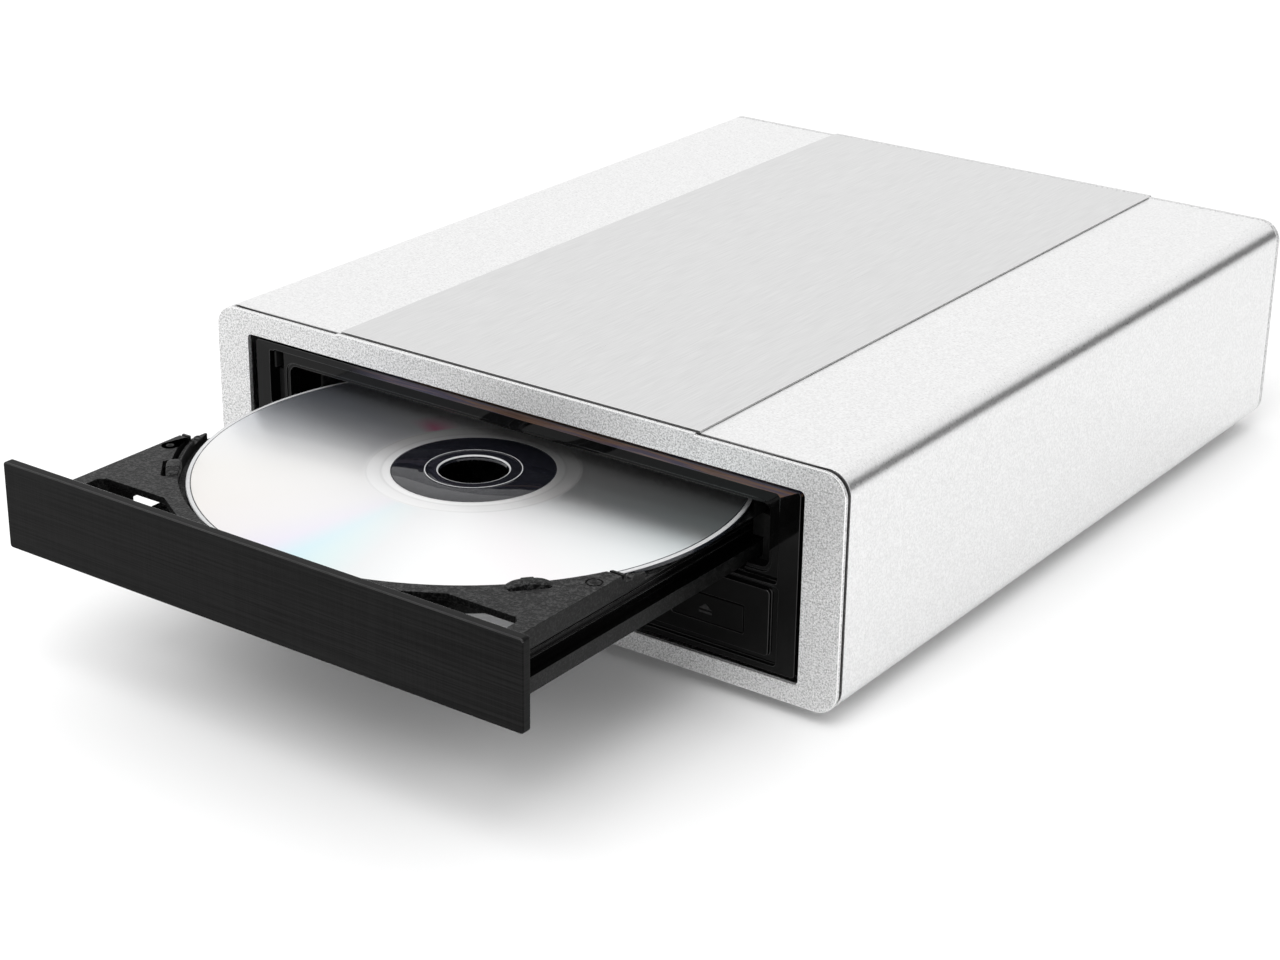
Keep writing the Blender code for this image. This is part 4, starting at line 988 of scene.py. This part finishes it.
def make_tray():
    slot = [(-55.0, -73.6), (-55.0, -66.2), (-53.6, -64.9), (-37.2, -64.8), (-27.0, -70.6), (-27.0, -73.6)]
    ring = rod(0.0, DISC_Y, RECESS_R + 1.6, 32.0, 42.0, seg=192)
    hollow = carve(slab(rect(-53.6, 53.6, -75.4, -30.0), 33.0, 37.6), [("cut", ring)])
    base = carve(box(-TRAY_X, TRAY_X, TRAY_Y0, TRAY_Y1, TRAY_Z0, TRAY_Z1), [
        ("cut", both(box(55.8, 60.0, TRAY_Y0 - 1, TRAY_Y1 + 1, 29.2, 35.2), box(-60.0, -55.8, TRAY_Y0 - 1, TRAY_Y1 + 1, 29.2, 35.2))),
        ("cut", box(-53.6, 53.6, -75.4, TRAY_Y1 + 1, 24.0, 33.8)),
        ("cut", rod(0.0, DISC_Y, RECESS_R, RECESS_Z, 41.0, seg=192)),
        ("cut", mirrored(box(50.0, 60.0, -31.0, -20.0, RECESS_Z, 41.0))),
        ("cut", mirrored(box(50.0, 60.0, -37.4, -30.5, 37.2, 41.0))),
        # narrow channel and lower lip between the left wing and the disc's recess, and the window under its corner slot
        ("cut", ring_sector(62.3, 63.2, 206.2, 217.0, 36.4, 41.0)),
        ("cut", ring_sector(61.0, 62.4, 203.0, 217.0, 38.4, 41.0)),
        ("cut", box(-60.0, -53.0, -57.8, -43.5, 25.0, 32.6)),
        ("cut", mirrored(slab(slot, 32.0, 41.0))),
        ("cut", slab(circle(0.0, DISC_Y, 22.0, 40, 180.0, 360.0) + [(22.0, TRAY_Y1 + 1), (-22.0, TRAY_Y1 + 1)], 32.0, 41.0)),
        ("cut", both(box(-35.0, -23.0, -79.0, -74.0, 27.4, 31.6), box(23.0, 35.0, -79.0, -74.0, 27.4, 31.6))),
        ("cut", hollow),
        ("cut", mirrored(slab([clip_point(-3.6, -3.0), clip_point(-4.4, 0.5), clip_point(-3.8, 1.5), clip_point(3.8, 1.5),
                               clip_point(4.4, 0.5), clip_point(3.6, -3.0)], 36.4, 41.0))),
        # rounded recess for the small disc size, inside the large one
        ("cut", rod(0.0, DISC_Y, 40.6, 34.8, 36.5, seg=160)),
        # joint line and channel at the wings' rear ends
        ("cut", mirrored(box(50.5, 60.0, -38.6, -38.1, 38.2, 40.0))),
        # shallow ring grooves round the wing fasteners
        ("cut", mirrored(plate([circle(56.2, -44.1, 1.75, 40), circle(56.2, -44.1, 1.45, 40)], 38.75, 40.0))),
        ("add", gear_pitch_rack()),
        # fine runners inside the side grooves
        ("add", both(box(55.6, 56.0, -76.0, 76.0, 30.5, 30.8), box(-56.0, -55.6, -42.8, 76.0, 30.5, 30.8),
                     box(55.6, 56.0, -76.0, 76.0, 32.1, 32.4), box(-56.0, -55.6, -42.8, 76.0, 33.2, 33.5))),
        ("bevel", 0.14, 2, 40)])
    base.normal_update()
    # runner faces take the lighter painted-highlight material, groove faces the very dark painted shade, other non-top
    # faces the darker painted shade; faces looking up above z 34 take the tray plastic
    for f in base.faces:
        c = f.calc_center_median()
        if abs(c.x) > 55.85 and (30.45 < c.z < 30.85 or 32.05 < c.z < 32.45):
            f.material_index = 3
        elif abs(c.x) > 55.5 and 29.1 < c.z < 35.3:
            f.material_index = 2
        else:
            f.material_index = 0 if f.normal.z > 0.6 and c.z > 34.0 else 1
    piece("tray_moulding", base, ["tray_plastic", "tray_side", "tray_groove", "door_edge"], "tray", ["tray"], 40)
    piece("tray_clips", both(arch(1), arch(-1)), "tray_plastic", "tray", (), 50)

    # fasteners on the wings
    bits = []
    for s in (-1, 1):
        bits.append(turned([(0.0, 39.28), (0.55, 39.26), (0.85, 39.16), (0.92, 38.8), (0.0, 38.8)], s * 56.2, -44.1, seg=40))
        bits.append(turned([(0.30, 39.34), (0.46, 39.34), (0.46, 39.2), (0.30, 39.2)], s * 56.2, -44.1, seg=32))
    piece("wing_bosses", both(*bits), "matte_black_plastic", "tray", ())
    bits = []
    for s in (-1, 1):
        x, y = s * 57.7, -34.4
        h = turned([(0.0, 37.75), (0.5, 37.7), (0.85, 37.5), (0.95, 37.3), (0.95, 36.9), (0.0, 36.9)], x, y, seg=40)
        h = carve(h, [("cut", box(x - 0.6, x + 0.6, y - 0.12, y + 0.12, 37.5, 38.0)),
                      ("cut", box(x - 0.12, x + 0.12, y - 0.6, y + 0.6, 37.5, 38.0))])
        bits.append(h)
    piece("wing_screws", both(*bits), "black_screw", "tray", ())
    # upright guide strips under the front corner slots, seen through them
    bits = []
    for s in (-1, 1):
        b = box(s * 37.0 - 0.8, s * 37.0 + 0.8, -75.2, -65.2, 31.8, 33.4)
        bits.append(b)
    piece("slot_ribs", carve(both(*bits), [("bevel", 0.15, 2, 40)]), "tray_plastic", "tray", ())

    # door
    bm = carve(slab(rect(-67.25, 67.25, 25.4, 44.5, 0.7, 6), -80.1, -77.9, "Y"), [
        ("bevel", 0.25, 3, 50, 1),
        ("cut", slab(rect(-62.5, 62.5, 40.9, 43.4, 0.5, 3), -78.9, -77.0, "Y")),
        ("add", both(box(-34.0, -24.0, -78.5, -70.0, 28.0, 31.0), box(24.0, 34.0, -78.5, -70.0, 28.0, 31.0)))])
    # only the door's top edge keeps the lighter, shinier painted-highlight material
    for f in bm.faces:
        if f.material_index == 1 and f.calc_center_median().z < 43.5:
            f.material_index = 0
    piece("door_front", bm, ["door_plastic", "door_edge"], "tray", ["tray_door"], 40)


# ------------------------------------------------------------------------------ disc
def make_disc():
    prof = [(60.0, 36.5), (59.98, 36.92), (59.86, 37.08), (59.6, 37.1), (59.35, 37.1), (59.1, 37.06), (58.85, 37.1), (23.0, 37.1), (20.9, 37.1),
            (18.0, 37.1), (17.55, 37.1), (17.35, 37.04), (17.15, 37.1), (10.75, 37.1), (10.62, 37.2), (10.42, 37.235), (10.22, 37.24),
            (9.98, 37.2), (9.85, 37.1), (7.85, 37.1), (7.6, 37.04), (7.5, 36.85), (7.5, 36.1), (7.6, 35.94), (7.8, 35.9),
            (18.0, 35.9), (20.9, 35.9), (23.0, 35.9), (58.85, 35.9), (59.35, 35.9), (59.6, 35.9), (59.9, 35.96), (59.99, 36.1)]
    bm = turned(prof, 0.0, DISC_Y, seg=256)
    for f in bm.faces:
        c = f.calc_center_median()
        r = math.hypot(c.x, c.y - DISC_Y)
        # top edges of the rim and of the hub's rings take the whitish painted-highlight material
        painted_highlight_rings = c.z > 36.8 and (r >= 59.2 or 10.24 < r < 10.40 or 7.5 < r < 7.8)
        f.material_index = 0 if 23.0 < r < 58.85 else 1 if 17.6 < r <= 23.0 else 3 if painted_highlight_rings else 2
    piece("disc_body", bm, ["disc_mirror", "band", "hub", "rim"], "disc", ["disc"], 30,
          origin=(0.0, DISC_Y, 36.5), weighted=False)


# ------------------------------------------------------------------------------ carried-over CAD nodes
def dress_nodes():
    slot_of = {s["node"]: s["material_slot"] for s in frame["record"]["subparts"]}
    for name, ob in NODES.items():
        slot = slot_of[name]
        ob.data.materials.clear()
        ob.data.materials.append(M[slot if slot in M else "matte_black_plastic"])
        for p in ob.data.polygons:
            p.material_index = 0
        ob.data.shade_smooth()
        ob.data.set_sharp_from_angle(angle=math.radians(32))


make_enclosure()
make_bezel()
make_tray()
make_disc()
dress_nodes()


# ============================================================================== studio
def make_studio():
    bm = bmesh.new()
    bmesh.ops.create_grid(bm, x_segments=1, y_segments=1, size=4.0)
    me = bpy.data.meshes.new("floor")
    bm.to_mesh(me)
    bm.free()
    fl = bpy.data.objects.new("floor", me)
    SCN.collection.objects.link(fl)
    t = Tree("floor_paper")
    n = t.noise(12, 2.0, 0.5)
    t.set(base=t.ramp(n, [(0.3, 0.955), (0.7, 0.965)]), rough=0.8, spec=0.1)
    me.materials.append(t.mat)

    w = bpy.data.worlds.new("studio")
    SCN.world = w
    w.use_nodes = True
    nt = w.node_tree
    bg = nt.nodes["Background"]
    bg.inputs["Strength"].default_value = 0.95
    tc = nt.nodes.new("ShaderNodeTexCoord")
    # a low dark flag behind the object's right: the extrusion's rounded edge mirrors it as a narrow dark band
    flat = nt.nodes.new("ShaderNodeVectorMath")
    flat.operation = "MULTIPLY"
    flat.inputs[1].default_value = (1.0, 1.0, 2.2)
    nt.links.new(tc.outputs["Generated"], flat.inputs[0])
    unit = nt.nodes.new("ShaderNodeVectorMath")
    unit.operation = "NORMALIZE"
    nt.links.new(flat.outputs["Vector"], unit.inputs[0])
    dot = nt.nodes.new("ShaderNodeVectorMath")
    dot.operation = "DOT_PRODUCT"
    az, el = math.radians(38.0), math.radians(9.0)
    dot.inputs[1].default_value = (math.sin(az) * math.cos(el), math.cos(az) * math.cos(el), math.sin(el))
    nt.links.new(unit.outputs["Vector"], dot.inputs[0])
    mr = nt.nodes.new("ShaderNodeMapRange")
    mr.interpolation_type = "SMOOTHSTEP"
    mr.inputs["From Min"].default_value = math.cos(math.radians(36))
    mr.inputs["From Max"].default_value = math.cos(math.radians(25))
    nt.links.new(dot.outputs["Value"], mr.inputs["Value"])
    mx = nt.nodes.new("ShaderNodeMix")
    mx.data_type = "RGBA"
    mx.inputs[6].default_value = (1.0, 1.0, 1.0, 1.0)
    mx.inputs[7].default_value = (0.015, 0.015, 0.016, 1.0)
    nt.links.new(mr.outputs["Result"], mx.inputs[0])
    # the dome is a little brighter behind the object's left, which the top face mirrors
    glow = nt.nodes.new("ShaderNodeVectorMath")
    glow.operation = "DOT_PRODUCT"
    glow.inputs[1].default_value = (-0.535, 0.745, 0.40)
    nt.links.new(tc.outputs["Generated"], glow.inputs[0])
    gr = nt.nodes.new("ShaderNodeMapRange")
    gr.inputs["From Min"].default_value = 0.2
    gr.inputs["From Max"].default_value = 0.95
    gr.inputs["To Min"].default_value = 0.96
    gr.inputs["To Max"].default_value = 1.15
    nt.links.new(glow.outputs["Value"], gr.inputs["Value"])
    sc = nt.nodes.new("ShaderNodeVectorMath")
    sc.operation = "SCALE"
    nt.links.new(mx.outputs[2], sc.inputs[0])
    nt.links.new(gr.outputs["Result"], sc.inputs["Scale"])
    nt.links.new(sc.outputs["Vector"], bg.inputs["Color"])

    def area(name, loc, target, size, power, shape="SQUARE", size_y=None):
        li = bpy.data.lights.new(name, "AREA")
        li.energy = power
        li.size = size
        if size_y:
            li.shape = "RECTANGLE"
            li.size_y = size_y
        ob = bpy.data.objects.new(name, li)
        ob.location = loc
        d = Vector(target) - Vector(loc)
        ob.rotation_euler = d.to_track_quat("-Z", "Y").to_euler()
        SCN.collection.objects.link(ob)
        return ob

    area("key", (0.20, -0.78, 1.30), (0.0, -0.02, 0.0), 1.00, 8.0)
    # soft light on the front only: kept out of reflections, so that the top keeps its tone seen from behind
    fill = area("fill", (-0.15, -1.35, 0.40), (0.0, -0.05, 0.0), 1.60, 3.6)
    fill.visible_glossy = False
    SCN.view_settings.view_transform = "Standard"
    SCN.view_settings.look = "None"
    SCN.view_settings.exposure = 0.0
    SCN.view_settings.gamma = 1.0


make_studio()
bpy.context.view_layer.update()
